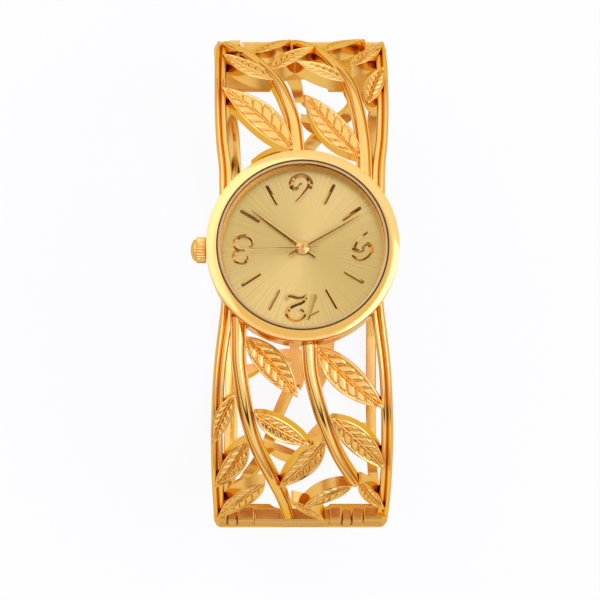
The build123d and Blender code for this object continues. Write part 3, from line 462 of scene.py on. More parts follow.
for where, side in (("twelve", 1), ("six", -1)):
    for number, shares in enumerate(vines[where], 1):
        path = frontPath(shares, side, vineForm["spacing"])
        width = 2 * band["halfWidth"] * np.linspace(vineForm["startShare"], vineForm["endShare"], len(path))
        atBar = shares[-1][1] == vineEnd
        upper = runLeft(path) > (vineForm["neck"] if atBar else 0)
        nose = (width[-1] / 2, vineForm["noseFall"])
        surfaces = [strip(path[upper], *vineLoop(), 1, width[upper], nose)]
        if atBar:
            surfaces.append(strip(path, neckLoop[0] * vineForm["neckShare"], neckLoop[1] - vineForm["neckDrop"], 1,
                                  width))
        makePiece(f"vine_{where}_{number}", surfaces, polishedGold)
    makeLeaves(f"leaf_{where}", leaves[where], lambda x, run: frontPlace(x, run, side), 1, "head")
    # A rail is wider beside the case, down to the run where it has narrowed
    railShares = rails["shares"][where]
    for name, hand in (("left", -1), ("right", 1)):
        path = frontPath(railShares, side, rails["spacing"], hand)
        share = (np.abs(path[:, 1]) - caseRadius) / frontWay
        widened = np.clip((rails["narrowed"] - share) / (rails["narrowed"] - railShares[0][1]), 0, 1)
        width = rails["width"] + rails["spread"] * widened
        loop, lifts = railLoop()
        inward = -hand * side
        upper = runLeft(path) > rails["neck"]
        neckShares = rails["neckInset"] + (1 - 2 * rails["neckInset"]) * (neckLoop[0] + 0.5)
        makePiece(f"rail_{where}_{name}",
                  [strip(path[upper], inward * loop, lifts, 1, width[upper], (rails["nose"], rails["noseFall"])),
                   strip(path, inward * neckShares, neckLoop[1] - rails["neckDrop"], 1, width)], polishedGold)
print("front openwork made")

# Bars at the ends of the band

hinge = {"slotShares": (-0.525, 0.785), "slotWidth": 1.5, "gap": 0.2, "topGap": 0.2, "barrel": 0.9, "capInner": 8.4,
         "seam": 0.14, "step": 0.75, "block": 1.6, "wideBlock": 2.2, "barrelInset": 0.6, "lowerFinger": 2.2}
clasp = {"slotShare": 0.762, "slotWidth": 1.83}
barHalf = band["halfWidth"] - endBar["inset"]
capInner = band["halfWidth"] - rails["width"]


def drawnIn(x):
    # How far the outer face draws in near the band's corners, as a quarter circle
    into = np.clip((np.abs(x) - (barHalf - endBar["corner"])) / endBar["corner"], 0, 1)
    return endBar["corner"] * (1 - np.sqrt(1 - into**2))[:, None]


def endBlock(xFrom, xTo, high, side, front=1):
    # A bevelled outline of (height above the parting line, lift), carried along X. At each end it shrinks by the
    # bevel, as a quarter circle.
    bevel, facet, deep = endBar["bevel"], endBar["facet"], -band["thickness"]
    first = bevel * endBar["firstShare"]
    section = np.array([(bevel, 0), (high - facet[0], 0), (high, -facet[1]), (high, deep + bevel),
                        (high - bevel, deep), (bevel, deep), (0, deep + bevel), (0, -bevel), (first, -first)])
    x = np.unique(np.concatenate([np.linspace(xFrom, xTo, 60), [xFrom + first, xFrom + bevel],
                                  [xTo - first, xTo - bevel]]))
    edge = np.minimum(x - xFrom, xTo - x)
    shrink = bevel * (1 - np.sqrt(np.clip(1 - (1 - np.clip(edge / bevel, 0, 1))**2, 0, 1)))
    height, lift = (part - np.sign(part - part.mean()) * shrink[:, None] for part in section.T[:, None])
    return onBand(np.broadcast_to(x[:, None], height.shape), side * (halfRun - height), np.minimum(lift, -drawnIn(x)),
                  front)


def slotEdges(share, width):
    return share * barHalf - width / 2, share * barHalf + width / 2


def barrelRod(xFrom, xTo, bevel=0.08):
    # A round rod along X on the hinge's axis, with slightly bevelled ends
    turn = np.linspace(0, 2 * pi, 48, endpoint=False)
    x = np.array([xFrom, xFrom + bevel, xTo - bevel, xTo])[:, None]
    r = hinge["barrel"] - np.array([bevel, 0, 0, bevel])[:, None]
    return np.stack([np.broadcast_to(x, (4, 48)), band["halfLength"] - hinge["barrel"] + r * np.cos(turn),
                     r * np.sin(turn)], -1)


slots = [slotEdges(share, hinge["slotWidth"]) for share in hinge["slotShares"]]
(farFrom, farTo), (nearFrom, nearTo) = slots
raised = endBar["height"] + hinge["step"]
lowerBars = [endBlock(xFrom, xTo, high, 1) for xFrom, xTo, high in (
    (-barHalf, -hinge["capInner"], endBar["capHeight"]), (-hinge["capInner"] + hinge["seam"], farFrom, raised),
    (farTo, farTo + hinge["block"], raised), (farTo + hinge["block"], nearFrom - hinge["wideBlock"], endBar["height"]),
    (nearFrom - hinge["wideBlock"], nearFrom, raised), (nearTo, barHalf, endBar["capHeight"]))]
rodInset = endBar["corner"] * hinge["barrelInset"]
rods = ((rodInset - barHalf, farFrom), (farTo, nearFrom), (nearTo, barHalf - rodInset))
lowerBars += [barrelRod(*ends) for ends in rods]
makePiece("hinge_bar", lowerBars, satinGold, replaces=["shoulder_12"])
claspFrom, claspTo = slotEdges(clasp["slotShare"], clasp["slotWidth"])
upperBars = [endBlock(xFrom, xTo, high, -1) for xFrom, xTo, high in (
    (-barHalf, -capInner, endBar["capHeight"]), (-capInner, claspFrom, endBar["height"]),
    (claspTo, barHalf, endBar["capHeight"]))]
makePiece("clasp_bar", upperBars, satinGold, replaces=["shoulder_6"])

# The hinged back half

backPlate = {"depth": 11.7, "archRadius": 4.2, "archDrop": 12.6, "parting": 0.15, "bevelShare": 0.02}


def archPlate(side, top):
    # Columns along X run from the parting line to the plate's lower edge, which rises over the arch as a circle
    bevel, deep, share = endBar["bevel"], -band["thickness"], backPlate["bevelShare"]
    radius, drop = backPlate["archRadius"], backPlate["archDrop"]
    archHalf = radius * np.sqrt(1 - ((drop - backPlate["depth"]) / radius)**2)
    x = np.unique(np.concatenate([np.linspace(-barHalf, barHalf, 60), np.linspace(-archHalf, archHalf, 81),
                                  [-archHalf - 1e-3, archHalf + 1e-3]]))
    low = np.where(np.abs(x) <= archHalf, drop - np.sqrt(np.clip(radius**2 - x**2, 0, None)), backPlate["depth"])
    down = np.linspace(share, 1 - share, 14)
    shares = np.concatenate([[0], down, [1, 1], down[::-1], [0]])
    lifts = np.concatenate([[-bevel], 0 * down, [-bevel, deep + bevel], 0 * down + deep, [deep + bevel]])
    height = top + shares * (low - top)[:, None]
    return onBand(np.broadcast_to(x[:, None], height.shape), side * (halfRun - height),
                  np.minimum(lifts, -drawnIn(x)), -1)


# Each back rail's outer edge, with its hand and its width
backRails = {
    "left": (-1, 1.4, ((0.98, -0.81), (0.95, -0.72), (0.925, -0.6), (0.92, 0.0), (0.925, 0.6),
                       (0.95, 0.72), (0.98, 0.81))),
    "right": (1, 1.8, ((0.98, -0.81), (0.92, -0.72), (0.865, -0.6), (0.865, 0.0), (0.878, 0.4),
                       (0.905, 0.62), (0.94, 0.72), (0.98, 0.81))),
}
backForm = {"spacing": 0.5, "vineShares": (0.074, 0.056),
            "loop": (np.array([0.0, 0.1, 0.9, 1.0, 1.0, 0.9, 0.1, 0.0]),
                     np.array([-0.12, 0.0, 0.0, -0.12, -1.68, -1.8, -1.8, -1.68]))}
backVines = (
    ((-0.82, -0.8), (-0.69, -0.705), (-0.574, -0.64), (-0.427, -0.605), (-0.234, -0.556), (-0.1, -0.51), (0.1, -0.42),
     (0.35, -0.3), (0.6, -0.15), (0.76, 0.01), (0.81, 0.1)),
    ((-0.85, -0.254), (-0.66, -0.12), (-0.45, -0.01), (-0.24, 0.08), (-0.08, 0.15), (0.05, 0.21), (0.148, 0.262),
     (0.237, 0.318), (0.375, 0.431), (0.502, 0.508), (0.604, 0.56), (0.69, 0.65), (0.74, 0.8)),
    ((0.12, -0.84), (0.05, -0.78), (-0.01, -0.7)),
)
backPieces = [archPlate(1, hinge["barrel"] + backPlate["parting"]), archPlate(-1, backPlate["parting"])]
for xFrom, xTo in slots:
    xFrom, xTo = xFrom + hinge["gap"], xTo - hinge["gap"]
    backPieces += [endBlock(xFrom, xTo, endBar["height"] - hinge["topGap"], 1), barrelRod(xFrom, xTo),
                   endBlock(xFrom, xTo, hinge["lowerFinger"], 1, front=-1)]
makePiece("back_end_plates", backPieces, satinGold, body="back_half", replaces=["back_band"])
for name, (hand, width, shares) in backRails.items():
    path = through([backPlace(x, run, hand) for x, run in shares], backForm["spacing"])
    loop, lifts = backForm["loop"]
    makePiece(f"back_rail_{name}", [strip(path, -hand * loop, lifts, -1, np.full(len(path), width))], polishedGold,
              body="back_half")
for number, shares in enumerate(backVines, 1):
    path = through([backPlace(x, run) for x, run in shares], backForm["spacing"])
    width = 2 * band["halfWidth"] * np.linspace(*backForm["vineShares"], len(path))
    makePiece(f"back_vine_{number}", [strip(path, *vineLoop(), -1, width)], polishedGold, body="back_half")
makeLeaves("back_leaf", leaves["back"], backPlace, -1, "back_half")
print("bars and back half made")

# Watch head


def lathe(profile, segments=256):
    # A closed outline of (radius, height) turned about Z: x and y are the radius times the angle's cosine and sine
    profile = np.asarray(profile, float)
    turn = np.linspace(0, 2 * pi, segments, endpoint=False)[:, None]
    return np.stack([profile[:, 0] * np.cos(turn), profile[:, 0] * np.sin(turn),
                     np.broadcast_to(profile[:, 1], (segments, len(profile)))], -1)


def makeTurned(name, grid, material, replaces, slot="gold"):
    # The turned grid closes on itself both ways
    addPiece(name, grid.reshape(-1, 3), [gridQuads(grid, closed=True)], material, replaces=replaces, slot=slot,
             sharp=35, poles=True)


def arc(centre, radius, fromAngle, toAngle, count):
    # Points of a circle's arc, angles in degrees
    turn = np.radians(np.linspace(fromAngle, toAngle, count))
    return [(centre[0] + radius * np.cos(a), centre[1] + radius * np.sin(a)) for a in turn]


head = {"bezelWidth": 1.25, "domeFrom": 17, "domeTo": 3, "corner": 0.02, "overhang": 0.08, "lip": 0.25,
        "sealTop": 0.45, "neckWall": 0.5, "wall": 1.3, "caseBevel": 0.08, "groove": (0.14, 0.42, 0.2, 0.12)}
outer = bezelHigh[0]
inner = outer - head["bezelWidth"]
bezelBottom, bezelTop = bezelLow[2], bezelHigh[2]
steep, flat = radians(head["domeFrom"]), radians(head["domeTo"])
domeRadius = (head["bezelWidth"] + head["overhang"] - 2 * head["corner"]) / (sin(steep) - sin(flat))
mouth = inner - head["overhang"]
domeAt = (mouth + head["corner"] - domeRadius * sin(flat), bezelTop - domeRadius)
shoulder = domeAt[1] + domeRadius * cos(steep)
neck = caseRadius - head["neckWall"]
caseTop = caseHigh[2]
sealTop = bezelTop - head["sealTop"]
bezelProfile = [
    (neck, bezelBottom), (outer - 0.3, bezelBottom), (outer - 0.08, bezelBottom + 0.1), (outer, bezelBottom + 0.3),
    (outer, shoulder - 0.05), *arc(domeAt, domeRadius, 90 - head["domeFrom"], 90 - head["domeTo"], 24),
    (mouth, bezelTop - 0.05), (mouth, sealTop), (inner, sealTop), (inner, caseTop), (neck, caseTop),
]
makeTurned("bezel_ring", lathe(bezelProfile, 320), polishedGold, ["bezel"])
sealInner = inner - head["lip"]
sealProfile = [(sealInner, caseTop), (inner, caseTop), (inner, sealTop), (sealInner, sealTop)]
# The seal's dark brown tone paints the shade in the groove under the bezel's mouth
makeTurned("glass_seal", lathe(sealProfile, 128), sealPaintedShade, ["crystal_gasket"], "clear_seal")
bore = caseRadius - head["wall"]
bevel = head["caseBevel"]
grooveDepth, *grooveDrops = head["groove"]
seat = inner + 0.03
caseProfile = [
    (bore, caseLow[2]), (caseRadius - bevel, caseLow[2]), (caseRadius, caseLow[2] + bevel),
    (caseRadius, bezelBottom - 0.5), *[(caseRadius - grooveDepth, bezelBottom - drop) for drop in grooveDrops[:2]],
    (caseRadius, bezelBottom - grooveDrops[2]), (caseRadius, bezelBottom), (neck, bezelBottom), (neck, caseTop),
    (seat, caseTop), (seat, dialLow[2]), (bore, dialLow[2]),
]
makeTurned("case_wall", lathe(caseProfile), polishedGold, ["case_body"])

flange = {"ribs": 180, "depth": 0.03, "edge": 0.05, "slope": 0.3, "width": 0.88, "rim": 0.03, "foot": 0.16}
rehautOuter, _, rehautTop = nodeBox("rehaut_ring")[1]
rehautInner = inner - flange["width"]
dialTop = dialHigh[2]
slopeFrom, slopeTo = rehautInner + flange["rim"], rehautInner + flange["slope"]


def ribbed(grid):
    # The sloping face between the two rims rises and falls round the ring
    turn = np.arctan2(grid[..., 1], grid[..., 0])
    radius = np.hypot(grid[..., 0], grid[..., 1])
    slope = np.clip(np.minimum(radius - rehautInner - flange["edge"], slopeTo - 0.02 - radius) / 0.05, 0, 1)
    onTop = grid[..., 2] > dialTop + 0.02
    grid[..., 2] -= flange["depth"] * (0.5 + 0.5 * np.cos(flange["ribs"] * turn)) * slope * onTop
    return grid


rehautProfile = [
    (rehautInner, dialTop), (rehautInner, dialTop + 0.1), (slopeFrom, dialTop + flange["foot"]),
    *[(slopeFrom + (slopeTo - slopeFrom) * s, dialTop + flange["foot"] + (rehautTop - dialTop - 0.2) * s)
      for s in (0.05, 0.2, 0.4, 0.6, 0.8, 0.95)],
    (slopeTo, rehautTop - 0.04), (slopeTo + 0.03, rehautTop), (rehautOuter, rehautTop), (rehautOuter, dialTop),
]
makeTurned("inner_flange", ribbed(lathe(rehautProfile, 720)), flangeGold, ["rehaut_ring"], "gold_applied")
(_, _, glassFoot), (glassRadius, _, glassTop) = nodeBox("crystal")
glassProfile = [(0, glassFoot), (glassRadius, glassFoot), (glassRadius, glassTop - 0.2),
                (glassRadius - 0.06, glassTop - 0.06), (glassRadius - 0.2, glassTop), (0, glassTop)]
makeTurned("crystal_glass", lathe(glassProfile), crystalGlass, ["crystal"], "glass")
# A thin gold-toned skin round the glass: its colour is a painted reflection, the gold light that the glass's ground
# edge holds
rim = {"width": 0.34, "skin": 0.012, "wall": 0.03}
rimInner = glassRadius - rim["width"]
rimProfile = [(rimInner, glassTop), (rimInner + 0.03, glassTop + rim["skin"]),
              (glassRadius - 0.2, glassTop + rim["skin"]), (glassRadius - 0.05, glassTop - 0.05),
              (glassRadius - 0.005, glassTop - 0.2), (glassRadius - 0.005, glassFoot + 0.02),
              (glassRadius - rim["wall"], glassFoot + 0.02), (glassRadius - rim["wall"], glassTop - 0.22),
              (glassRadius - 0.22, glassTop - 0.02), (rimInner, glassTop - 0.02)]
# The skin's gold tone paints the reflection held in the glass's ground edge
makeTurned("glass_rim", lathe(rimProfile), glassEdgeReflection, [], "glass")
dialBore = 1.0
dialProfile = [(dialBore, dialLow[2]), (dialHigh[0], dialLow[2]), (dialHigh[0], dialTop), (dialBore, dialTop)]
makeTurned("dial_plate", lathe(dialProfile), dialPlate, ["dial"], "dial")
backFoot, backTop = (box[2] for box in nodeBox("case_back"))
lip = {"gap": 0.04, "width": 0.5, "bevel": 0.4, "ringHeight": 0.06, "ring": (1.9, 1.8, 1.6, 1.5)}
lipOuter = bore - lip["gap"]
lipInner = lipOuter - lip["width"]
ring = [(caseRadius - inset, backFoot + height)
        for inset, height in zip(lip["ring"], (0, lip["ringHeight"], lip["ringHeight"], 0))]
backProfile = [(0, backFoot), *ring, (caseRadius - lip["bevel"], backFoot), (caseRadius, backFoot + lip["bevel"]),
               (caseRadius, caseLow[2]), (lipOuter, caseLow[2]), (lipOuter, backTop), (lipInner, backTop),
               (lipInner, caseLow[2]), (0, caseLow[2])]
makeTurned("back_cover", lathe(backProfile), polishedGold, ["case_back"])

# Crown: the radius is a profile along the stem's axis, with a rounded flute repeated round it
crownLow, crownHigh = nodeBox("crown")
crownForm = {"flutes": 27, "depth": 0.13, "barrel": 1.3, "bevel": 0.14, "step": 0.27, "bore": 0.45, "rim": 0.03}


def crownSurface():
    # Each place of the profile is its way along the axis, its radius and its share of the flutes' depth
    f = crownForm
    bevel, end = f["bevel"], f["barrel"]
    radius = (crownHigh[1] - crownLow[1]) / 2
    domeRadius = radius - f["step"]
    dome = crownHigh[0] - crownLow[0] - end - f["rim"]
    barrel = [(0, radius - bevel, 0.4), (bevel * 0.4, radius - 0.03, 0.8), (bevel, radius, 1),
              (end - bevel, radius, 1), (end - 0.04, radius - 0.08, 0.9), (end, domeRadius + 0.06, 0.5),
              (end + f["rim"], domeRadius, 0.35)]
    cap = [(end + f["rim"] + dome * sin(a), domeRadius * cos(a), 0.35 * max(0, 1 - a / 0.5))
           for a in np.radians(np.linspace(4, 88, 16))]
    way, radii, shares = np.array([(0, f["bore"], 0), *barrel, *cap]).T[..., None]
    turn = np.linspace(0, 2 * pi, f["flutes"] * 12, endpoint=False)
    radii = radii - shares * f["depth"] * (0.5 + 0.5 * np.cos(f["flutes"] * turn))**1.5
    return np.stack([np.broadcast_to(crownLow[0] + way, radii.shape), radii * np.cos(turn),
                     (crownHigh[2] + crownLow[2]) / 2 + radii * np.sin(turn)], -1)


makePiece("crown_knob", [crownSurface()], polishedGold, body="crown_set", replaces=["crown"], sharp=60)
print("case, glass and crown made")

# Dial furniture

bars = {"inner": 6.35, "outer": 9.3, "width": 0.42, "height": 0.3, "middle": (0.1, -0.12),
        "turns": (27.6, 56.9, 121.1, 150.6, 207.3, 235.8, 300.4, 330.3)}
stroke = {"spacing": 0.05, "roof": 0.9, "slope": 0.58, "leastBend": 0.03}


def ridgeStroke(points, lift, height):
    # points are (x, y, half width). Over upright sides the top is a roof of two flat slopes that meet in a ridge,
    # and at both ends the width draws in as a quarter circle.
    path = through(points, stroke["spacing"])
    side = sideways(path)
    left = runLeft(path)
    nearEnd = np.minimum(left, left[0] - left)
    bend = np.sqrt(np.clip(1 - (1 - np.clip(nearEnd / path[:, 2], 0, 1))**2, stroke["leastBend"], 1))
    half = (path[:, 2] * bend)[:, None]
    v = np.linspace(-1, 1, 9)
    top = height - np.minimum(stroke["roof"] * height, stroke["slope"] * half) * np.abs(v)
    shares = np.concatenate([v, [1, -1]])
    heights = np.concatenate([top, np.zeros((len(path), 2))], 1)
    x = path[:, :1] + half * shares * side[:, :1]
    y = path[:, 1:2] + half * shares * side[:, 1:]
    return np.stack([x, y, lift + heights], -1)


def barStroke(turn):
    # A bar along a radius, as a stroke of constant width
    direction = np.array([sin(turn), cos(turn)])
    return ridgeStroke([(*(np.array(bars["middle"]) + direction * r), bars["width"] / 2)
                        for r in np.linspace(bars["inner"], bars["outer"], 4)], dialTop, bars["height"])


makePiece("hour_bars", [barStroke(radians(turn)) for turn in bars["turns"]], appliedGold,
          replaces=["dial_markers"], slot="gold_applied", sharp=25)
# Points of each figure about the dial's middle: x, y and half the stroke's width
figures = {
    "one": [[(-1.56, 6.05, 0.42), (-1.33, 6.9, 0.34), (-1.05, 8.0, 0.22), (-0.82, 8.9, 0.16), (-0.65, 9.42, 0.13)],
            [(-0.9, 8.85, 0.12), (-1.35, 8.62, 0.12), (-2.14, 8.24, 0.11)]],
    "two": [[(2.06, 6.93, 0.1), (2.09, 6.58, 0.13), (1.79, 6.26, 0.18), (1.29, 6.25, 0.22), (0.65, 6.43, 0.21),
             (0.0, 6.38, 0.16), (-0.5, 6.1, 0.12)],
            [(-0.42, 6.14, 0.12), (-0.38, 6.58, 0.15), (0.1, 7.06, 0.2), (0.89, 7.39, 0.2), (1.49, 7.69, 0.2),
             (1.89, 8.14, 0.2), (1.96, 8.65, 0.21), (1.69, 9.12, 0.2), (1.24, 9.37, 0.18), (0.75, 9.45, 0.16),
             (0.2, 9.25, 0.16), (-0.17, 8.82, 0.18), (-0.25, 8.49, 0.17), (-0.1, 8.17, 0.14), (0.25, 8.07, 0.12),
             (0.5, 8.29, 0.11)]],
    "three": [[(6.98, -0.28, 0.1), (6.56, -0.3, 0.13), (6.44, -0.73, 0.16), (6.62, -1.14, 0.17), (7.02, -1.44, 0.17),
               (7.55, -1.55, 0.17), (8.08, -1.45, 0.18), (8.54, -1.14, 0.2), (8.79, -0.73, 0.22), (8.81, -0.4, 0.22),
               (8.61, -0.06, 0.2), (8.21, 0.16, 0.16), (7.42, 0.22, 0.13)],
              [(8.15, 0.22, 0.14), (8.57, 0.48, 0.18), (8.82, 0.85, 0.2), (8.92, 1.25, 0.2), (8.74, 1.62, 0.18),
               (8.34, 1.85, 0.17), (7.81, 1.95, 0.16), (7.35, 1.79, 0.15), (7.07, 1.45, 0.14), (7.08, 1.15, 0.12),
               (7.25, 1.01, 0.11)]],
    "six": [[(0.87, -6.01, 0.11), (0.24, -6.65, 0.15), (-0.36, -7.33, 0.22), (-0.84, -7.9, 0.3), (-1.01, -8.46, 0.33),
             (-0.84, -9.11, 0.27), (-0.43, -9.45, 0.22), (0.13, -9.6, 0.21), (0.76, -9.45, 0.22), (1.28, -9.07, 0.25),
             (1.47, -8.54, 0.26), (1.36, -8.01, 0.24), (1.02, -7.76, 0.2), (0.65, -7.9, 0.17), (0.35, -8.2, 0.14),
             (0.15, -8.58, 0.11)]],
    "nine": [[(-6.44, 0.96, 0.1), (-6.81, 1.3, 0.13), (-7.48, 1.51, 0.16), (-8.08, 1.3, 0.2), (-8.6, 0.81, 0.26),
              (-8.9, 0.2, 0.3), (-8.82, -0.29, 0.26), (-8.41, -0.55, 0.19), (-8.0, -0.36, 0.14),
              (-7.8, -0.1, 0.12), (-7.91, 0.17, 0.12), (-7.55, 0.41, 0.14), (-7.07, 0.33, 0.18), (-6.66, 0.01, 0.25),
              (-6.81, -0.55, 0.24), (-7.26, -1.19, 0.2), (-7.82, -1.72, 0.18), (-8.45, -2.18, 0.14)]],
}
boldness = {"one": 1.1, "two": 1.45, "three": 1.3, "six": 1.15, "nine": 1.15}
strokes = [ridgeStroke([(x, y, half * boldness[name]) for x, y, half in line], dialTop, bars["height"])
           for name, figure in figures.items() for line in figure]
makePiece("dial_figures", strokes, appliedGold, replaces=["dial_numerals"], slot="gold_applied", sharp=25)


def handSurface(form, lift, thickness):
    # A hand as a stroke that widens from the tail to the middle and tapers to its tip
    length, tail, half, tip = (form[key] for key in ("length", "tail", "half", "tip"))
    turn = radians(form["angle"])
    direction = np.array([sin(turn), cos(turn)])
    reach = [(-tail, half * 0.7), (-tail * 0.5, half * 0.85), (0, half), (length * 0.4, half * 0.95),
             (length - tip, half * 0.8), (length - tip * 0.4, half * 0.45), (length, 0.04)]
    return ridgeStroke([(*(direction * r), h) for r, h in reach], lift, thickness)


def hub(radius, bottom, top):
    # Turned about Z: a wide bevel up to a flat ring, with a cone sunk in its middle
    rows = [(radius, bottom), (radius, top - 0.08), (radius - 0.14, top), (0.2, top), (0.17, top - 0.02),
            (0.12, top - 0.12), (0.01, top - 0.13)]
    return lathe(rows, 64).transpose(1, 0, 2)


hands = {
    "hour": {"body": "hours", "angle": 126.6, "length": 8.3, "tail": 2.1, "half": 0.22, "tip": 2.6, "hub": 0.9},
    "minute": {"body": "minutes", "angle": 240.6, "length": 8.5, "tail": 2.1, "half": 0.15, "tip": 2.4, "hub": 0.74},
    "second": {"body": "seconds", "angle": 88.0, "length": 6.9, "tail": 2.1, "half": 0.085, "tip": 4.0, "hub": 0.5},
}
for name, form in hands.items():
    low, high = (box[2] for box in nodeBox(f"{name}_hand"))
    makePiece(f"{name}_blade", [handSurface(form, low, high - low), hub(form["hub"], low, high)], appliedGold,
              body=form["body"], replaces=[f"{name}_hand"], slot="gold_applied")
print("dial furniture made")

# The pieces that keep their CAD shape get their finish
finishes = {
    "case_back_gasket": rubber, "movement_holder": holderPlastic, "movement_plate": nickel, "train_bridge": nickel,
    "battery": steel, "motor_coil": copper, "circuit_board": boardGreen, "crown_tube": innerGold,
    "crown_gasket": rubber, "winding_stem": steel, "setting_lever": steel, "hour_wheel": appliedGold,
    "cannon_pinion": steel, "seconds_arbor": steel, "hinge_pins": pinSteel, "clasp_spring": steel,
    "clasp_push": polishedGold,
}
for name, material in finishes.items():
    nodes[name].data.materials.clear()
    nodes[name].data.materials.append(material)

# Stage, light and camera


def addStage(name, corners, faces, material):
    mesh = bpy.data.meshes.new(name)
    mesh.from_pydata(corners, [], faces)
    mesh.materials.append(material)
    made = bpy.data.objects.new(name, mesh)
    scene.collection.objects.link(made)
    return made


def showAs(material, shader):
    output = next(n for n in material.node_tree.nodes if n.type == "OUTPUT_MATERIAL")
    material.node_tree.links.new(shader, output.inputs["Surface"])


stage = {"floorSize": 2.0, "floorWhite": 0.92, "floorRoughness": 0.9, "floorGlow": 0.85, "worldStrength": 0.85,
         "floorGap": 0.0002}
floorPaint, shader = newMaterial("floorPaint", (stage["floorWhite"],) * 3, 0.0, stage["floorRoughness"])
rays = addNode(floorPaint, "ShaderNodeLightPath").outputs
seen = addMath(floorPaint, "MAXIMUM", rays["Is Camera Ray"], rays["Is Glossy Ray"])
seen = addMath(floorPaint, "MAXIMUM", seen, rays["Is Transmission Ray"])
glow = addNode(floorPaint, "ShaderNodeEmission", {"Color": (1, 1, 1, 1), "Strength": 1.0})
mixed = addNode(floorPaint, "ShaderNodeMixShader", {0: addMath(floorPaint, "MULTIPLY", seen, stage["floorGlow"]),
                                                    1: shader.outputs["BSDF"], 2: glow.outputs["Emission"]})
showAs(floorPaint, mixed.outputs["Shader"])
half, level = stage["floorSize"] / 2, cadLow.z - stage["floorGap"]
addStage("floor", [(-half, -half, level), (half, -half, level), (half, half, level), (-half, half, level)],
         [(0, 1, 2, 3)], floorPaint)

world = bpy.data.worlds.new("studio")
scene.world = world
world.use_nodes = True
backdrop = world.node_tree.nodes["Background"]
backdrop.inputs["Color"].default_value = (1, 1, 1, 1)
rays = addNode(world, "ShaderNodeLightPath").outputs
dim = addNode(world, "ShaderNodeMapRange", {"Value": rays["Is Diffuse Ray"], "To Min": 1.0,
                                            "To Max": stage["worldStrength"]})
world.node_tree.links.new(dim.outputs["Result"], backdrop.inputs["Strength"])

# Two soft lamps, and a round tent that only the metal's reflections see. The tent is brown at its foot and pale
# above, it is lighter toward -X and -Y, and toward +Y a dark gap lies between its side cloths and its top ones.
lampColor = (0.78, 0.81, 1.68)
lamps = {"key": {"place": (0.2, -0.12, 0.4), "size": 0.34, "power": 0.28},
         "fill": {"place": (-0.26, 0.08, 0.38), "size": 0.3, "power": 0.46}}
for name, form in lamps.items():
    light = bpy.data.lights.new(name, "AREA")
    light.shape = "SQUARE"
    light.size = form["size"]
    light.energy = form["power"]
    light.color = lampColor
    lamp = bpy.data.objects.new(name, light)
    scene.collection.objects.link(lamp)
    place = Vector(form["place"])
    lamp.matrix_world = Matrix.Translation(place) @ (-place).to_track_quat("-Z", "Y").to_matrix().to_4x4()

# Colours stand at degrees above the floor
tent = {"radius": 0.62, "foot": -2, "top": 72, "light": 1.14, "lean": 0.14, "darkFrom": 32, "darkTo": 42, "soft": 2.5,
        "darkAhead": (-0.02, 0.12), "around": 96, "up": 33, "brown": (0.5, 0.29, 0.12), "cool": (1.0, 1.05, 1.32),
        "roof": (1.12, 1.14, 1.85), "dark": (0.06, 0.034, 0.014), "middlingAt": 9, "coolFrom": 17, "coolTo": 52,
        "roofFrom": 60}
turn = np.linspace(0, 2 * pi, tent["around"], endpoint=False)
climb = np.radians(np.linspace(tent["foot"], tent["top"], tent["up"]))[:, None]
grid = tent["radius"] * np.stack([np.cos(climb) * np.cos(turn), np.cos(climb) * np.sin(turn),
                                  np.sin(climb) * np.ones_like(turn)], -1)
tentPaint = bpy.data.materials.new("tentPaint")
tentPaint.use_nodes = True
parts = addNode(tentPaint, "ShaderNodeSeparateXYZ", {"Vector": objectPlace(tentPaint)}).outputs
rising = addMath(tentPaint, "ARCSINE", addMath(tentPaint, "DIVIDE", parts["Z"], tent["radius"]))
share = addMath(tentPaint, "DIVIDE", rising, pi / 2)
soft = tent["soft"]
middling = [(a + b) / 2 for a, b in zip(tent["brown"], tent["cool"])]
foot = [(0, tent["brown"]), (tent["middlingAt"], middling), (tent["coolFrom"], tent["cool"])]
roof = (tent["roofFrom"], tent["roof"])
gap = [(tent["darkFrom"] - soft, tent["cool"]), (tent["darkFrom"] + soft, tent["dark"]),
       (tent["darkTo"] - soft, tent["dark"]), (tent["darkTo"] + soft, tent["cool"])]
ramps = []
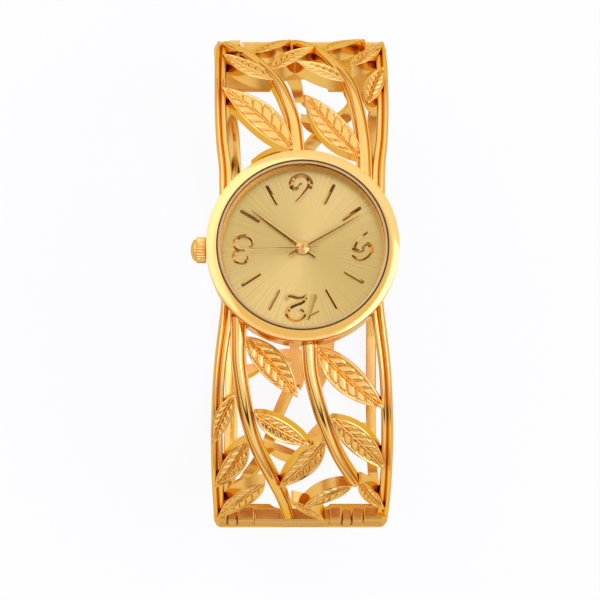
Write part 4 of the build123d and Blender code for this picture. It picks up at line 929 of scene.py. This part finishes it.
for stops in ([*foot, (tent["coolTo"], tent["cool"]), roof], [*foot, *gap, roof]):
    ramp = addNode(tentPaint, "ShaderNodeValToRGB", {"Fac": share})
    while len(ramp.color_ramp.elements) < len(stops):
        ramp.color_ramp.elements.new(1.0)
    for element, (degrees, color) in zip(ramp.color_ramp.elements, stops):
        element.position = degrees / 90
        element.color = (*color, 1)
    ramps.append(ramp.outputs["Color"])
isAhead = addNode(tentPaint, "ShaderNodeMapRange", {
    "Value": parts["Y"], "From Min": tent["darkAhead"][0] * tent["radius"],
    "From Max": tent["darkAhead"][1] * tent["radius"]})
aside = addMath(tentPaint, "ADD", parts["X"], parts["Y"])
level = addMath(tentPaint, "MULTIPLY_ADD", aside, -tent["lean"] / tent["radius"], tent["light"])
lit = addNode(tentPaint, "ShaderNodeEmission", {"Color": mixTones(tentPaint, isAhead.outputs["Result"], *ramps),
                                                "Strength": level})
showAs(tentPaint, lit.outputs["Emission"])
cloth = addStage("tent", grid.reshape(-1, 3).tolist(), gridQuads(grid).tolist(), tentPaint)
for ray in ("camera", "diffuse", "shadow", "transmission"):
    setattr(cloth, f"visible_{ray}", False)

# The camera looks down on the dial, tipped a little from the hinge's side, with twelve o'clock at the picture's foot
view = {"distance": 600.0, "tilt": 0.16344, "lean": 0.0105, "aim": (0.04, 2.2055), "focalPixels": 4421.4,
        "framePixels": 600, "sensor": 36.0, "clip": (0.01, 10)}
camera = bpy.data.cameras.new("camera")
camera.sensor_width = view["sensor"]
camera.lens = view["focalPixels"] / view["framePixels"] * view["sensor"]
camera.clip_start, camera.clip_end = view["clip"]
cam = bpy.data.objects.new("camera", camera)
scene.collection.objects.link(cam)
tilt, lean = view["tilt"], view["lean"]
back = Vector((sin(lean), cos(lean) * sin(tilt), cos(lean) * cos(tilt)))
across = Vector((0, -cos(tilt), sin(tilt))).cross(back).normalized()
upward = back.cross(across)
place = Vector((*view["aim"], 0)) + view["distance"] * back
cam.matrix_world = Matrix([(*row, at * mm) for row, at in zip(zip(across, upward, back), place)] + [(0, 0, 0, 1)])
scene.camera = cam
print("stage, light and camera ready")
